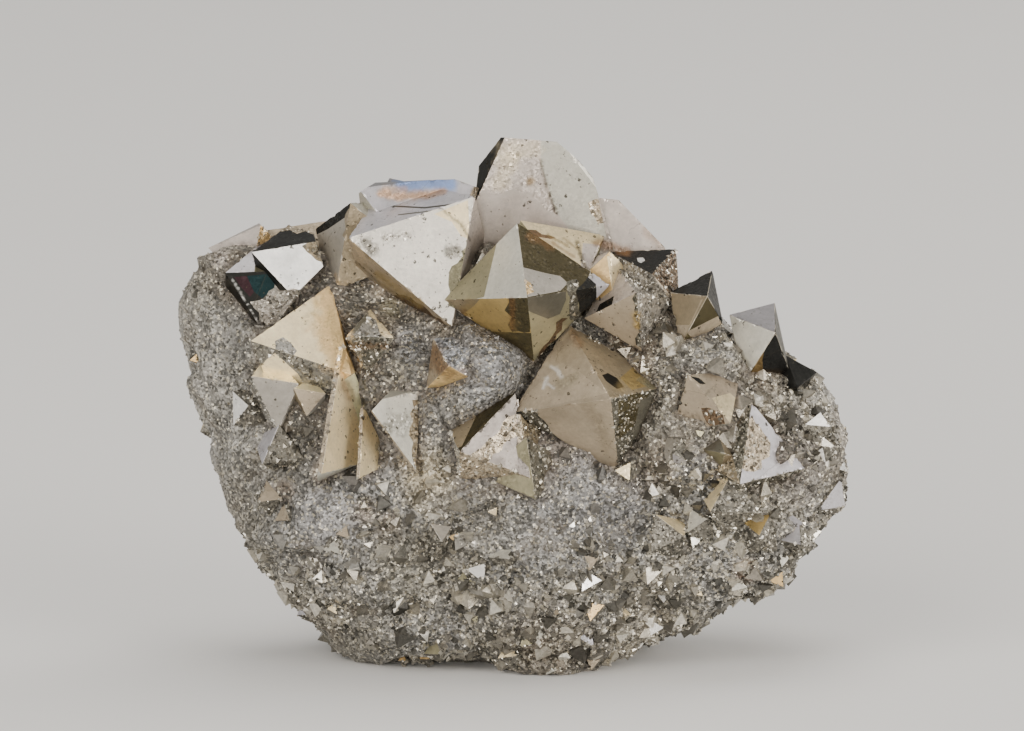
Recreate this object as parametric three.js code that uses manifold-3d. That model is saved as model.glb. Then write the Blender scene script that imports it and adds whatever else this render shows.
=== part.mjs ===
// A pyrite specimen: octahedral crystals grown on and into a block of granular matrix.
// Millimetres, +Z up. The show side faces -Y and the block stands on a flat worn base at Z = 0.
// Everything is set out in the show plane first: x to the right, y up, z towards a viewer who
// looks down on the specimen by SHOW_TILT, and is then turned to stand on its base.
import * as THREE from "three";
import { ConvexGeometry } from "three/addons/geometries/ConvexGeometry.js";
import { mergeVertices } from "three/addons/utils/BufferGeometryUtils.js";
import Module from "manifold-3d";

// Driving dimensions, in millimetres and degrees.
const SHOW_TILT = 10; // the show plane leans back from upright by this
const FLOOR_RISE = 2.1; // the standing plane lies this far above the show plane's origin
const ROCK_CENTRE = [1, 33]; // in the show plane
const FRONT_DEPTH = 16; // the matrix in front of the show plane
const BACK_DEPTH = 20; // the matrix behind it
const BLOCKY = 0.62; // 1 is an ellipsoid, smaller is squarer in depth
const ROCK_DETAIL = 11; // steps along each edge of the icosahedron that the matrix is drawn on
const RIM_RELIEF = 0.3; // share of the lumps that is left at the measured outline
const FIT_GAP = 0.3; // between a crystal and the socket it sits in

// The matrix's outline in the show plane, clockwise from the left.
const OUTLINE = [
  [-45.1, 47.1], [-44.5, 49.6], [-42.7, 52], [-41, 53.6], [-41.1, 55.1], [-38.5, 57.2],
  [-34, 58.3], [-26, 58.5], [-18, 58.5], [-8, 58.5], [2, 58.5], [9, 57], [15, 54], [20, 51.5],
  [25, 48.5], [30, 46.2], [35.9, 42.7], [40.3, 40.3], [42.3, 37.6], [43.9, 32.9], [44.6, 28],
  [44.3, 23.1], [42.7, 21.6], [41.1, 18.8], [38.7, 17.3], [36.9, 13.2], [33.8, 11.6], [28.5, 10.1],
  [24.5, 6.4], [19.5, 4.8], [15.9, 3.3], [11.7, 0.9], [7.8, -1.2], [2.5, -1.6], [-1.1, -0.7],
  [-4.6, 0.9], [-9.9, 1.5], [-18.1, 2], [-23.7, 3.5], [-26.1, 6.9], [-30.2, 11.3], [-35.3, 17.3],
  [-38.3, 24.5], [-40.6, 32.1], [-42.5, 36.9], [-43.5, 42.5],
];

// Lumps of the matrix: each octave is a sum of waves of one length.
const LUMP_SEED = 7;
const OCTAVES = [
  { length: 26, height: 1.5, waves: 5 },
  { length: 11, height: 0.9, waves: 6 },
  { length: 5.2, height: 0.5, waves: 7 },
];

// Places of the show side where the matrix swells out between the crystals, or falls back.
const BULGES = [
  { at: [-3.7, 42.2], across: 4.5, height: 4.5 },
  { at: [-37, 49], across: 8, height: -4 },
  { at: [-13, 48], across: 5, height: -2.5 },
  { at: [-28.5, 41.5], across: 4, height: 1.5 },
  { at: [17.2, 49], across: 4, height: 3 },
  { at: [28, 43], across: 5, height: 2 },
  { at: [-9, 30], across: 5, height: 1.5 },
  { at: [2, 14], across: 12, height: 1.5 },
  { at: [36, 24], across: 9, height: 1.5 },
];

// One octahedron is given by the three corners a, b, c of a face that shows, in the show plane,
// and by the way that this face is tipped. A heart gives its middle where growth was uneven.
// depth is how far the face's middle lies in front of the show plane, or proud is how far in front
// of the matrix. A cut breaks off what lies outside the line between two points.
const CLUSTERS = {
  crown_crystals: [
    {
      a: [1.5, 77.1], b: [-11.4, 49.1], c: [20.3, 52.5], tipped: "right", depth: 9,
      cuts: [
        [[5.7, 70.8], [-2.9, 71.5]], [[8.6, 68.4], [5.7, 70.8]], [[10.5, 66.1], [8.6, 68.4]],
        [[11.4, 63.1], [10.5, 66.1]], [[-1.9, 71.1], [-4.6, 67.7]], [[-4.6, 67.7], [-4.9, 65.2]],
      ],
    },
    {
      a: [8.5, 68.7], b: [3.1, 49.1], c: [22.7, 54.3], tipped: "right", depth: 8,
      cuts: [
        [[13.9, 63.2], [11, 63.5]], [[20.1, 56.9], [13.9, 63.2]], [[20.5, 55.7], [19.7, 58]],
        [[12.9, 56], [20.1, 56.5]],
      ],
    },
    { heart: [-12.3, 56.3], a: [-21.7, 58], b: [-5.1, 63.5], c: [-8.1, 46.4], depth: 17.5 },
    {
      a: [-20.5, 64.7], b: [-4.5, 66.5], c: [-10.9, 52], tipped: "right", depth: 12.5,
      cuts: [
        [[-4.5, 64.7], [-7.8, 65.9]], [[-7.8, 65.9], [-18.3, 65.5]], [[-18.3, 65.5], [-21.5, 63.3]],
      ],
    },
    { heart: [1.6, 50.9], a: [0.5, 60], b: [-9.5, 49.9], c: [1.8, 50.1], depth: 20.5 },
    { a: [0.9, 60.4], b: [12.1, 58.5], c: [8.6, 50.5], tipped: "up", depth: 13.5 },
    { a: [9.3, 47.5], b: [16.1, 50.8], c: [16.9, 43.1], tipped: "down", depth: 16.5 },
    { heart: [11.5, 52.3], a: [12.7, 56.3], b: [15.8, 53.2], c: [13.1, 49.2], depth: 13.5 },
    { a: [12.6, 56.3], b: [21.5, 56.7], c: [18.2, 53.3], tipped: "up", depth: 12 },
    { heart: [-32.5, 51.6], a: [-38, 53.5], b: [-26.6, 53.9], c: [-32.5, 58.4], depth: 10.5 },
    {
      heart: [-28.5, 54.1], a: [-34.5, 56.2], b: [-23.8, 58], c: [-27.1, 48.3], depth: 14,
      cuts: [
        [[-29.9, 51.2], [-28.1, 51.3]], [[-28.1, 51.3], [-25.1, 54.3]], [[-26.1, 57.7], [-25.1, 54.3]],
      ],
    },
    { a: [-40.6, 56.9], b: [-33.5, 59.9], c: [-35.1, 51.3], tipped: "left", depth: 6 },
    { a: [-35.7, 58.8], b: [-23.4, 60.7], c: [-29.1, 50], tipped: "up", depth: 6 },
    { a: [-21.5, 62.7], b: [-27, 58.9], c: [-23.4, 51.3], tipped: "left", depth: 10 },
  ],
  front_crystal: [
    { heart: [10.5, 36.9], a: [7.1, 46.7], b: [-0.1, 35.1], c: [12.7, 36.9], depth: 19.5 },
  ],
  gable_crystal: [
    { heart: [24.1, 48.8], a: [26.3, 53.9], b: [20.5, 50.9], c: [25.5, 50.4], depth: 13.5 },
  ],
  ridge_crystal: [
    { heart: [32.5, 44.3], a: [34.6, 49.6], b: [28.5, 48], c: [34.5, 45.6], depth: 11.5 },
  ],
  wing_crystal: [{ a: [22.9, 40.1], b: [28.5, 33.7], c: [29.9, 40.4], tipped: "right", proud: 1.5 }],
  slope_crystals: [
    { a: [31.4, 36.4], b: [38.5, 27.7], c: [29.7, 25.7], tipped: "right", proud: 1 },
    { heart: [27, 29.7], a: [26.9, 32.4], b: [23.5, 30.5], c: [27.8, 29.7], proud: 1.2 },
  ],
  left_crystals: [
    { a: [-24.1, 52], b: [-34.5, 44.5], c: [-21.3, 40.1], tipped: "up", proud: 1.5 },
    { heart: [-31.6, 37.7], a: [-32.2, 42.8], b: [-34.6, 39.9], c: [-28.2, 38.9], proud: 1 },
    { heart: [-26.9, 37.1], a: [-26.6, 39.6], b: [-28.9, 38.3], c: [-24.7, 37.6], proud: 0.8 },
    {
      a: [-22.3, 44], b: [-25.1, 27.1], c: [-16.7, 29.2], tipped: "right", proud: 1.5,
      cuts: [[[-25.6, 27.3], [-23, 44]]],
    },
    {
      a: [-19.7, 36], b: [-20.2, 26.5], c: [-16.2, 28.4], tipped: "right", proud: 1.3,
      cuts: [[[-20.6, 26.3], [-20.1, 36]]],
    },
  ],
  brown_crystal: [{ a: [-18.9, 48.7], b: [-21.9, 45.2], c: [-15.7, 44.9], tipped: "up", proud: 1.5 }],
  amber_crystal: [
    { heart: [-7.3, 41.8], a: [-10.6, 44.9], b: [-11.5, 38.3], c: [-8.5, 41.2], proud: 2 },
  ],
  pale_crystal: [
    {
      a: [-19.3, 36.4], b: [-9.8, 38.5], c: [-11.9, 26.3], tipped: "up", proud: 1.5,
      cuts: [
        [[-12.1, 38.7], [-12.9, 26.7]], [[-19.3, 36.1], [-12.9, 27.3]], [[-18.6, 35.3], [-17, 37.1]],
      ],
    },
  ],
  wedge_crystals: [
    { a: [-9.7, 35.3], b: [0.2, 37.6], c: [-7.1, 30], tipped: "up", proud: 0.8 },
    { a: [-7.4, 30], b: [0.6, 36.9], c: [2.2, 26.5], tipped: "left", proud: 1.4 },
    { a: [-4.2, 26.8], b: [1.7, 31.9], c: [2.9, 23.7], tipped: "left", proud: 1.8 },
  ],
};

// Small crystals of the show side, one with the matrix.
const SMALL_CRYSTALS = [
  { a: [-37.1, 37.9], b: [-34.9, 36], c: [-37, 33.3], tipped: "left" },
  { a: [-34.3, 31.6], b: [-30.9, 33.5], c: [-33.1, 28.3], tipped: "up" },
  { a: [-32.6, 26.1], b: [-33.8, 23.3], c: [-30.5, 23.7], tipped: "up" },
  { a: [-30.3, 23.1], b: [-31.5, 20.8], c: [-29.5, 20.9], tipped: "left" },
  { a: [21.5, 34.7], b: [24.2, 32.7], c: [21.5, 31.3], tipped: "up" },
  { a: [19, 31.9], b: [21.5, 31.7], c: [20.1, 28.4], tipped: "left" },
  { a: [20.9, 29.7], b: [23.7, 28.3], c: [21, 27.6], tipped: "down" },
  { a: [28.9, 27.6], b: [24.6, 24.4], c: [25.8, 22.1], tipped: "left" },
  { a: [18.7, 21.7], b: [22.7, 20.8], c: [22.5, 18.8], tipped: "up" },
  { a: [23.3, 22.4], b: [25.5, 21.1], c: [22.7, 19.1], tipped: "up" },
  { a: [28.6, 21.9], b: [34.3, 22.5], c: [32.3, 18.9], tipped: "up" },
  { a: [33.9, 18.5], b: [37.7, 21.2], c: [37.9, 17.6], tipped: "up" },
  { a: [38.5, 33.5], b: [40.6, 35.1], c: [41.8, 33.2], tipped: "up" },
  { heart: [41.9, 23.3], a: [40.2, 22.1], b: [43.3, 26.4], c: [43.9, 22.6] },
  { a: [35.9, 42.7], b: [40.2, 40.4], c: [37.5, 38.3], tipped: "up" },
  { a: [-0.5, 18.7], b: [-3.4, 16.1], c: [-0.2, 15.9], tipped: "up" },
  { a: [-10.9, 20.5], b: [-8.1, 20.1], c: [-9.4, 18.1], tipped: "up" },
  { a: [-6.3, 14.5], b: [-3.7, 15.3], c: [-3.9, 12.7], tipped: "left" },
  { a: [16.9, 50], b: [18.5, 48.4], c: [16.6, 47.6], tipped: "up" },
];
const SMALL_PROUD = 0.8;

// The druse: small octahedra strewn over the matrix, most of them low and on the right.
const DRUSE_SEED = 23;
const DRUSE_TRIES = 210;
const DRUSE_REACH = [0.9, 2.2]; // from the middle of one to its corners
const DRUSE_SUNK = 0.35; // share of that which its middle lies below the surface

// A small repeatable source of numbers from 0 to 1.
function makeRandom(seed) {
  let state = seed;
  return () => {
    state = (Math.imul(state, 1664525) + 1013904223) >>> 0;
    return state / 4294967296;
  };
}

function randomDirection(random) {
  const up = 2 * random() - 1;
  const turn = 2 * Math.PI * random();
  const flat = Math.sqrt(1 - up * up);
  return new THREE.Vector3(flat * Math.cos(turn), flat * Math.sin(turn), up);
}

function makeLumps(seed) {
  const random = makeRandom(seed);
  const waves = [];
  for (const octave of OCTAVES) {
    for (let i = 0; i < octave.waves; i++) {
      waves.push({
        run: randomDirection(random).multiplyScalar((2 * Math.PI) / octave.length),
        phase: 2 * Math.PI * random(),
        height: octave.height / Math.sqrt(octave.waves),
      });
    }
  }
  return (point) => waves.reduce(
    (sum, { run, phase, height }) => sum + height * Math.sin(run.dot(point) + phase), 0);
}

const lumps = makeLumps(LUMP_SEED);

const RIM = OUTLINE.map(([x, y]) => {
  const [dx, dy] = [x - ROCK_CENTRE[0], y - ROCK_CENTRE[1]];
  return { angle: Math.atan2(dy, dx), radius: Math.hypot(dx, dy) };
}).sort((p, q) => p.angle - q.angle);

// The outline's radius at an angle about the matrix's centre.
function rimRadius(angle) {
  const next = Math.max(0, RIM.findIndex((p) => p.angle > angle));
  const a = RIM[(next + RIM.length - 1) % RIM.length];
  const b = RIM[next];
  const turn = 2 * Math.PI;
  const span = (b.angle - a.angle + turn) % turn;
  const share = ((angle - a.angle + turn) % turn) / span;
  return a.radius + (b.radius - a.radius) * share;
}

function bulge(x, y) {
  return BULGES.reduce((sum, { at, across, height }) => {
    const off = Math.hypot(x - at[0], y - at[1]) / across;
    return sum + height * Math.exp(-off * off);
  }, 0);
}

// A point of the matrix's surface, in the show plane's frame, for a direction from its centre.
function rockPoint(direction) {
  const { x, y, z } = direction;
  const angle = Math.atan2(y, x);
  const reach = rimRadius(angle) * Math.pow(Math.hypot(x, y), BLOCKY);
  const deepest = z > 0 ? FRONT_DEPTH : BACK_DEPTH;
  const point = new THREE.Vector3(
    ROCK_CENTRE[0] + reach * Math.cos(angle),
    ROCK_CENTRE[1] + reach * Math.sin(angle),
    Math.sign(z) * deepest * Math.pow(Math.abs(z), BLOCKY),
  );
  const relief = RIM_RELIEF + (1 - RIM_RELIEF) * Math.abs(z);
  if (z > 0) point.z += z * bulge(point.x, point.y);
  return point.addScaledVector(direction, relief * lumps(point));
}

// The matrix's mean front surface over a point of the show plane.
function frontDepth(x, y) {
  const [dx, dy] = [x - ROCK_CENTRE[0], y - ROCK_CENTRE[1]];
  const share = Math.min(1, Math.hypot(dx, dy) / rimRadius(Math.atan2(dy, dx)));
  const flat = Math.pow(share, 1 / BLOCKY);
  return FRONT_DEPTH * Math.pow(1 - flat * flat, BLOCKY / 2) + bulge(x, y);
}

const TIPPED = { up: [0, 1], down: [0, -1], left: [-1, 0], right: [1, 0] };

// The middle of a regular octahedron, as seen, from three corners of a face. For three half axes
// of one length at right angles, the squares of their views, taken as complex numbers, add up to
// nothing, which leaves two middles, one for each way that the face can be tipped.
function regularHeart(corners, tipped) {
  const middle = [0, 1].map((i) => (corners[0][i] + corners[1][i] + corners[2][i]) / 3);
  const spokes = corners.map((p) => [p[0] - middle[0], p[1] - middle[1]]);
  const real = spokes.reduce((sum, [x, y]) => sum + x * x - y * y, 0) / -3;
  const imaginary = spokes.reduce((sum, [x, y]) => sum + 2 * x * y, 0) / -3;
  const length = Math.sqrt(Math.hypot(real, imaginary));
  const half = Math.atan2(imaginary, real) / 2;
  const shift = [length * Math.cos(half), length * Math.sin(half)];
  const along = shift[0] * TIPPED[tipped][0] + shift[1] * TIPPED[tipped][1];
  const side = along > 0 ? -1 : 1;
  return [middle[0] + side * shift[0], middle[1] + side * shift[1]];
}

// The half axes to the corners a, b and c. The nearest one's depth follows from the size, and the
// other two stand at right angles to it.
function halfAxes(corners, heart) {
  const flat = corners.map((p) => [p[0] - heart[0], p[1] - heart[1]]);
  const reach = Math.sqrt(flat.reduce((sum, [x, y]) => sum + x * x + y * y, 0) / 2);
  const lengths = flat.map(([x, y]) => Math.hypot(x, y));
  const near = flat[lengths.indexOf(Math.min(...lengths))];
  const nearDepth = Math.sqrt(reach * reach - near[0] * near[0] - near[1] * near[1]);
  return flat.map((p) => {
    const depth = p === near ? nearDepth : -(p[0] * near[0] + p[1] * near[1]) / nearDepth;
    return new THREE.Vector3(p[0], p[1], depth);
  });
}

// The eight faces, as planes about the middle, from the half axes and their opposites.
function facePlanes(axes) {
  const volume = axes[0].dot(new THREE.Vector3().crossVectors(axes[1], axes[2]));
  const duals = axes.map((_, i) => new THREE.Vector3()
    .crossVectors(axes[(i + 1) % 3], axes[(i + 2) % 3])
    .divideScalar(volume));
  const planes = [];
  for (const i of [1, -1]) {
    for (const j of [1, -1]) {
      for (const k of [1, -1]) {
        const normal = new THREE.Vector3()
          .addScaledVector(duals[0], i)
          .addScaledVector(duals[1], j)
          .addScaledVector(duals[2], k);
        planes.push({ distance: 1 / normal.length(), normal: normal.normalize() });
      }
    }
  }
  return planes;
}

function octahedron({ a, b, c, heart, tipped, depth, proud = SMALL_PROUD, cuts = [] }) {
  const corners = [a, b, c];
  const middle = [0, 1].map((i) => (a[i] + b[i] + c[i]) / 3);
  const seenHeart = heart ?? regularHeart(corners, tipped);
  const axes = halfAxes(corners, seenHeart);
  const faceDepth = depth ?? frontDepth(...middle) + proud;
  const centre = new THREE.Vector3(...seenHeart, faceDepth - (axes[0].z + axes[1].z + axes[2].z) / 3);
  const planes = facePlanes(axes);
  for (const [from, to] of cuts) {
    const normal = new THREE.Vector3(to[1] - from[1], from[0] - to[0], 0).normalize();
    if (normal.x * (middle[0] - from[0]) + normal.y * (middle[1] - from[1]) > 0) normal.negate();
    const distance = normal.x * (from[0] - centre.x) + normal.y * (from[1] - centre.y);
    planes.push({ normal, distance });
  }
  return { centre, planes };
}

// The corners of the space that all planes enclose, each plane moved out by extra.
function enclosed({ centre, planes }, extra = 0) {
  const near = 1e-4;
  const corners = [];
  const inside = (p) => planes.every(({ normal, distance }) => normal.dot(p) <= distance + extra + near);
  const isNew = (p) => corners.every((corner) => corner.distanceTo(p) > near);
  for (let i = 0; i < planes.length; i++) {
    for (let j = i + 1; j < planes.length; j++) {
      for (let k = j + 1; k < planes.length; k++) {
        const corner = meeting([planes[i], planes[j], planes[k]], extra);
        if (corner && inside(corner) && isNew(corner)) corners.push(corner);
      }
    }
  }
  return corners.map((corner) => corner.add(centre));
}

// The point where three planes meet, or nothing where two of them are parallel.
function meeting([p, q, r], extra) {
  const acrossQR = new THREE.Vector3().crossVectors(q.normal, r.normal);
  const acrossRP = new THREE.Vector3().crossVectors(r.normal, p.normal);
  const acrossPQ = new THREE.Vector3().crossVectors(p.normal, q.normal);
  const volume = p.normal.dot(acrossQR);
  if (Math.abs(volume) < 1e-6) return null;
  return acrossQR.multiplyScalar(p.distance + extra)
    .addScaledVector(acrossRP, q.distance + extra)
    .addScaledVector(acrossPQ, r.distance + extra)
    .divideScalar(volume);
}

// A regular octahedron about a point, turned at random.
function strewnOctahedron(centre, reach, random) {
  const first = randomDirection(random);
  const second = randomDirection(random).cross(first).normalize();
  const third = new THREE.Vector3().crossVectors(first, second);
  const axes = [first, second, third].map((axis) => axis.multiplyScalar(reach));
  return { centre, planes: facePlanes(axes) };
}

// How thickly the druse covers a place: most at the right and the foot of the show side.
function druseShare({ x, y, z }) {
  const right = THREE.MathUtils.smoothstep(x, -15, 25);
  const foot = 1 - THREE.MathUtils.smoothstep(y, 8, 30);
  const front = THREE.MathUtils.smoothstep(z, -12, 2);
  return 0.25 + 0.75 * Math.max(right, foot) * front;
}

// The strewn octahedra that stay clear of the large crystals.
function druse(large) {
  const random = makeRandom(DRUSE_SEED);
  const kept = [];
  for (let i = 0; i < DRUSE_TRIES; i++) {
    const direction = randomDirection(random);
    const size = random();
    const reach = DRUSE_REACH[0] + (DRUSE_REACH[1] - DRUSE_REACH[0]) * size * size;
    const surface = rockPoint(direction);
    const centre = surface.clone().addScaledVector(direction, -DRUSE_SUNK * reach);
    const crystal = strewnOctahedron(centre, reach, random);
    const clear = large.every((shape) => distanceOutside(shape, centre) > 0.5 * reach);
    if (random() < druseShare(surface) && clear) kept.push(crystal);
  }
  return kept;
}

function distanceOutside({ centre, planes }, point) {
  const offset = point.clone().sub(centre);
  return Math.max(...planes.map(({ normal, distance }) => normal.dot(offset) - distance));
}

// Turns the show plane's frame to stand on the base.
const STAND = new THREE.Matrix4()
  .makeTranslation(0, 0, -FLOOR_RISE)
  .multiply(new THREE.Matrix4().makeRotationX(THREE.MathUtils.degToRad(90 - SHOW_TILT)));

const wasm = await Module();
wasm.setup();

// A closed three.js geometry as a solid.
function solidOf(geometry) {
  for (const extra of ["normal", "uv"]) geometry.deleteAttribute(extra);
  const merged = mergeVertices(geometry, 1e-3);
  return new wasm.Manifold(new wasm.Mesh({
    numProp: 3,
    vertProperties: merged.attributes.position.array,
    triVerts: new Uint32Array(merged.index.array),
  }));
}

function crystalSolid(shape, extra = 0) {
  return solidOf(new ConvexGeometry(enclosed(shape, extra)).applyMatrix4(STAND));
}

function rockSolid() {
  const geometry = new THREE.IcosahedronGeometry(1, ROCK_DETAIL);
  const position = geometry.attributes.position;
  const direction = new THREE.Vector3();
  for (let i = 0; i < position.count; i++) {
    direction.fromBufferAttribute(position, i).normalize();
    position.setXYZ(i, ...rockPoint(direction).toArray());
  }
  return solidOf(geometry.applyMatrix4(STAND));
}

// All that lies below the standing plane.
function groundSolid() {
  const side = 200;
  return solidOf(new THREE.BoxGeometry(side, side, side).translate(0, 0, -side / 2));
}

const joined = (solids) => solids.reduce((sum, solid) => sum.add(solid));
const largest = (solid) => solid.decompose().reduce((a, b) => (a.volume() > b.volume() ? a : b));

function meshOf(name, solid, material) {
  const { vertProperties, triVerts } = solid.getMesh();
  const geometry = new THREE.BufferGeometry();
  geometry.setAttribute("position", new THREE.BufferAttribute(new Float32Array(vertProperties), 3));
  geometry.setIndex(new THREE.BufferAttribute(new Uint32Array(triVerts), 1));
  geometry.computeVertexNormals();
  const mesh = new THREE.Mesh(geometry, material);
  mesh.name = name;
  return mesh;
}

const crystalLook = new THREE.MeshStandardMaterial({ color: 0xb8ae96, metalness: 1, roughness: 0.2 });
const matrixLook = new THREE.MeshStandardMaterial({ color: 0x8a8983, metalness: 0.2, roughness: 0.7 });

const specimen = new THREE.Group();
const largeShapes = [];
let sockets = null;
for (const [name, crystals] of Object.entries(CLUSTERS)) {
  const shapes = crystals.map(octahedron);
  let solid = joined(shapes.map((shape) => crystalSolid(shape)));
  const socket = joined(shapes.map((shape) => crystalSolid(shape, FIT_GAP)));
  if (sockets) solid = largest(solid.subtract(sockets));
  sockets = sockets ? sockets.add(socket) : socket;
  largeShapes.push(...shapes);
  specimen.add(meshOf(name, solid, crystalLook));
}

const smallShapes = [...SMALL_CRYSTALS.map(octahedron), ...druse(largeShapes)];
const rough = joined([rockSolid(), ...smallShapes.map((shape) => crystalSolid(shape))]);
const matrix = largest(rough.subtract(groundSolid()).subtract(sockets));
specimen.add(meshOf("matrix", matrix, matrixLook));

// The origin lies under the middle of the whole specimen.
const middle = new THREE.Box3().setFromObject(specimen).getCenter(new THREE.Vector3());
specimen.position.set(-middle.x, -middle.y, 0);

export default specimen;
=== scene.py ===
"""A pyrite specimen: octahedral crystals grown on and into a block of granular matrix."""

import math

import bmesh
import bpy
import numpy as np
from bpy.props import FloatProperty, FloatVectorProperty, IntProperty, PointerProperty
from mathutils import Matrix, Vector, noise
from mathutils.bvhtree import BVHTree
from mathutils.kdtree import KDTree


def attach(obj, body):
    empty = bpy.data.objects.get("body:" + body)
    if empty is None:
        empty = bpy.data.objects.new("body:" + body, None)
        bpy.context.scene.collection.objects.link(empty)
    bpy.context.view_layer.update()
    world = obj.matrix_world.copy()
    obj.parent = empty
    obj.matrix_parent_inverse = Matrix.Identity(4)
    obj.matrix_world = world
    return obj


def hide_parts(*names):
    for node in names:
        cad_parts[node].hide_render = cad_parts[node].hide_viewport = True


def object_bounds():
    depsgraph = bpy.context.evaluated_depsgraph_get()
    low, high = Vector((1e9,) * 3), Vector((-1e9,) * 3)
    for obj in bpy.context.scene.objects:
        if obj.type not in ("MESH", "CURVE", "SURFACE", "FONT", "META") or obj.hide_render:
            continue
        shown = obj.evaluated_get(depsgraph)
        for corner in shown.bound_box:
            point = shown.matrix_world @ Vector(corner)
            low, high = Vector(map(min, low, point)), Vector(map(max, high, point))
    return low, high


bl_info = {
    "name": "Pyrite specimen",
    "version": (1, 0, 0),
    "blender": (4, 5, 0),
    "location": "3D View > Sidebar > Specimen",
    "description": "Dresses the solids of a pyrite specimen with crystal faces, rock, druse and grains",
    "category": "Add Mesh",
}

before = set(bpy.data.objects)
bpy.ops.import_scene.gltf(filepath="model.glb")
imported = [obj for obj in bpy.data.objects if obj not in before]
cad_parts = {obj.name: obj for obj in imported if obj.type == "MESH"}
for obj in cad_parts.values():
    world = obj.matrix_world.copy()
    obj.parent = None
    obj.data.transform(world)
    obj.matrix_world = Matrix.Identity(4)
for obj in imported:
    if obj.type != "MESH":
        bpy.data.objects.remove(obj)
CAD_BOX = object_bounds()
MM = 0.001

# ---------------------------------------------------------------- the show plane and the view
# x to the right, y up, z towards the viewer, in millimetres, before the specimen stands up.
SHOW_TILT = math.radians(10)
FLOOR_RISE = 2.1
MIDDLE_SHIFT = (0.0756, -5.0053)
RIGHT = np.array([1.0, 0.0, 0.0])
UPWARD = np.array([0.0, math.sin(SHOW_TILT), math.cos(SHOW_TILT)])
TOWARD = np.array([0.0, -math.cos(SHOW_TILT), math.sin(SHOW_TILT)])
VIEW_DISTANCE = 1200.0
VIEW_CENTRE = (-0.2, 41.27)
PICTURE = (1024, 731)
PIXELS_PER_MM = 7.5
SENSOR = 36.0


def stood(points):
    """Show-plane points in millimetres as points of the standing specimen in metres."""
    points = np.atleast_2d(np.asarray(points, float))
    turned = points[:, :1] * RIGHT + points[:, 1:2] * UPWARD + points[:, 2:3] * TOWARD
    return (turned + np.array([*MIDDLE_SHIFT, -FLOOR_RISE])) * MM


def shown(points):
    """Standing points in metres as show-plane points in millimetres."""
    places = np.atleast_2d(points) / MM - np.array([*MIDDLE_SHIFT, -FLOOR_RISE])
    return np.stack([places @ RIGHT, places @ UPWARD, places @ TOWARD], 1)


def pictured(points):
    """Where standing points fall in the picture, in pixels."""
    x, y, z = shown(points).T
    scale = PIXELS_PER_MM * VIEW_DISTANCE / (VIEW_DISTANCE - z)
    return np.stack([
        PICTURE[0] / 2 + (x - VIEW_CENTRE[0]) * scale,
        PICTURE[1] / 2 - (y - VIEW_CENTRE[1]) * scale,
    ], 1)


def sight_line(u, v):
    """The viewer's place and the direction in which a picture point is seen."""
    eye = stood([*VIEW_CENTRE, VIEW_DISTANCE])[0]
    aim = stood([
        VIEW_CENTRE[0] + (u - PICTURE[0] / 2) / PIXELS_PER_MM,
        VIEW_CENTRE[1] - (v - PICTURE[1] / 2) / PIXELS_PER_MM, 0.0,
    ])[0]
    return Vector(eye), Vector(aim - eye).normalized()


# ---------------------------------------------------------------- settings
def tone(code):
    """A display colour such as 'c8b080' as linear red, green and blue."""
    channels = [int(code[i:i + 2], 16) / 255 for i in (0, 2, 4)]
    return tuple(c / 12.92 if c < 0.04045 else ((c + 0.055) / 1.055) ** 2.4 for c in channels)


def colour(name, code, words):
    return FloatVectorProperty(name=name, description=words, default=tone(code), subtype="COLOR",
                               size=3, min=0, max=1)


def length(name, metres, words):
    return FloatProperty(name=name, description=words, default=metres, unit="LENGTH", precision=5)


def power(name, watts, words):
    return FloatProperty(name=name, description=words, default=watts, unit="POWER")


# Face colours are the pyrite's tarnish and films, and some also carry painted light: silver is a painted
# highlight, pitch a painted dark reflection, taupe partly painted shade, edge wear with a painted highlight,
# and brown_matrix, darkened, painted shade where crystals meet the rock.
class PaletteSettings(bpy.types.PropertyGroup):
    silver: colour("Silver", "f7f5ef", "Untarnished faces that catch the light")
    ivory: colour("Ivory", "e0dacd", "The largest clean face")
    cream: colour("Cream", "f0deb4", "Clean warm faces")
    honey: colour("Honey", "e8c68e", "Clean faces with an orange bloom")
    white: colour("Warm white", "cdcabd", "Smaller clean faces")
    rose: colour("Rose grey", "c0b6ac", "Smooth faces with a faint pink bloom")
    lilac: colour("Lilac", "bebbbd", "Faces with a thin bluish bloom")
    blue: colour("Iridescent blue", "7f93bb", "Iridescent film, blue band")
    orange: colour("Iridescent orange", "bd946c", "Iridescent film, orange band")
    tan: colour("Tan", "aea08a", "Lightly tarnished faces")
    taupe: colour("Taupe", "94876f", "Tarnished faces, half in shade")
    grey: colour("Grey", "aaa499", "Dull grey faces")
    slate: colour("Slate", "636055", "Dark grey faces")
    olive: colour("Olive", "918b70", "Greenish tarnish")
    dark_olive: colour("Dark olive", "514a34", "Deep greenish tarnish")
    gold: colour("Gold", "a8915f", "Brassy yellow faces")
    amber: colour("Amber", "7c6640", "Brown-yellow tarnish")
    rust: colour("Rust", "84603c", "Iron stains along seams")
    pitch: colour("Pitch", "232321", "Nearly black mirror faces")
    petrol: colour("Petrol", "1b3032", "Blue-green film on a dark face")
    wine: colour("Wine", "38262a", "Red film on a dark face")
    edge: colour("Edge", "e9dfc9", "Worn bright edges")
    matrix: colour("Matrix", "7f7b71", "The granular rock")
    pale_matrix: colour("Pale matrix", "a3a098", "Dusty rock at the flank")
    quartz: colour("Quartz", "9a9c9f", "Bluish quartz patches")
    brown_matrix: colour("Brown matrix", "6d5a45", "Stained rock in the hollows")


class CrystalSettings(bpy.types.PropertyGroup):
    edge_width: length("Edge width", 0.00006, "Width of the worn edges")
    mesh_step: length("Mesh step", 0.00048, "Longest edge of a dressed crystal's mesh in front")
    roughness: FloatProperty(name="Roughness", description="Roughness of a clean face",
                             default=0.33, min=0, max=1)


class MatrixSettings(bpy.types.PropertyGroup):
    crag: length("Crags", 0.00085, "Height of the coarse relief")
    pebble: length("Pebbles", 0.00042, "Height of the middle relief")
    grit: length("Grit", 0.00014, "Height of the finest modelled relief")


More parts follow.
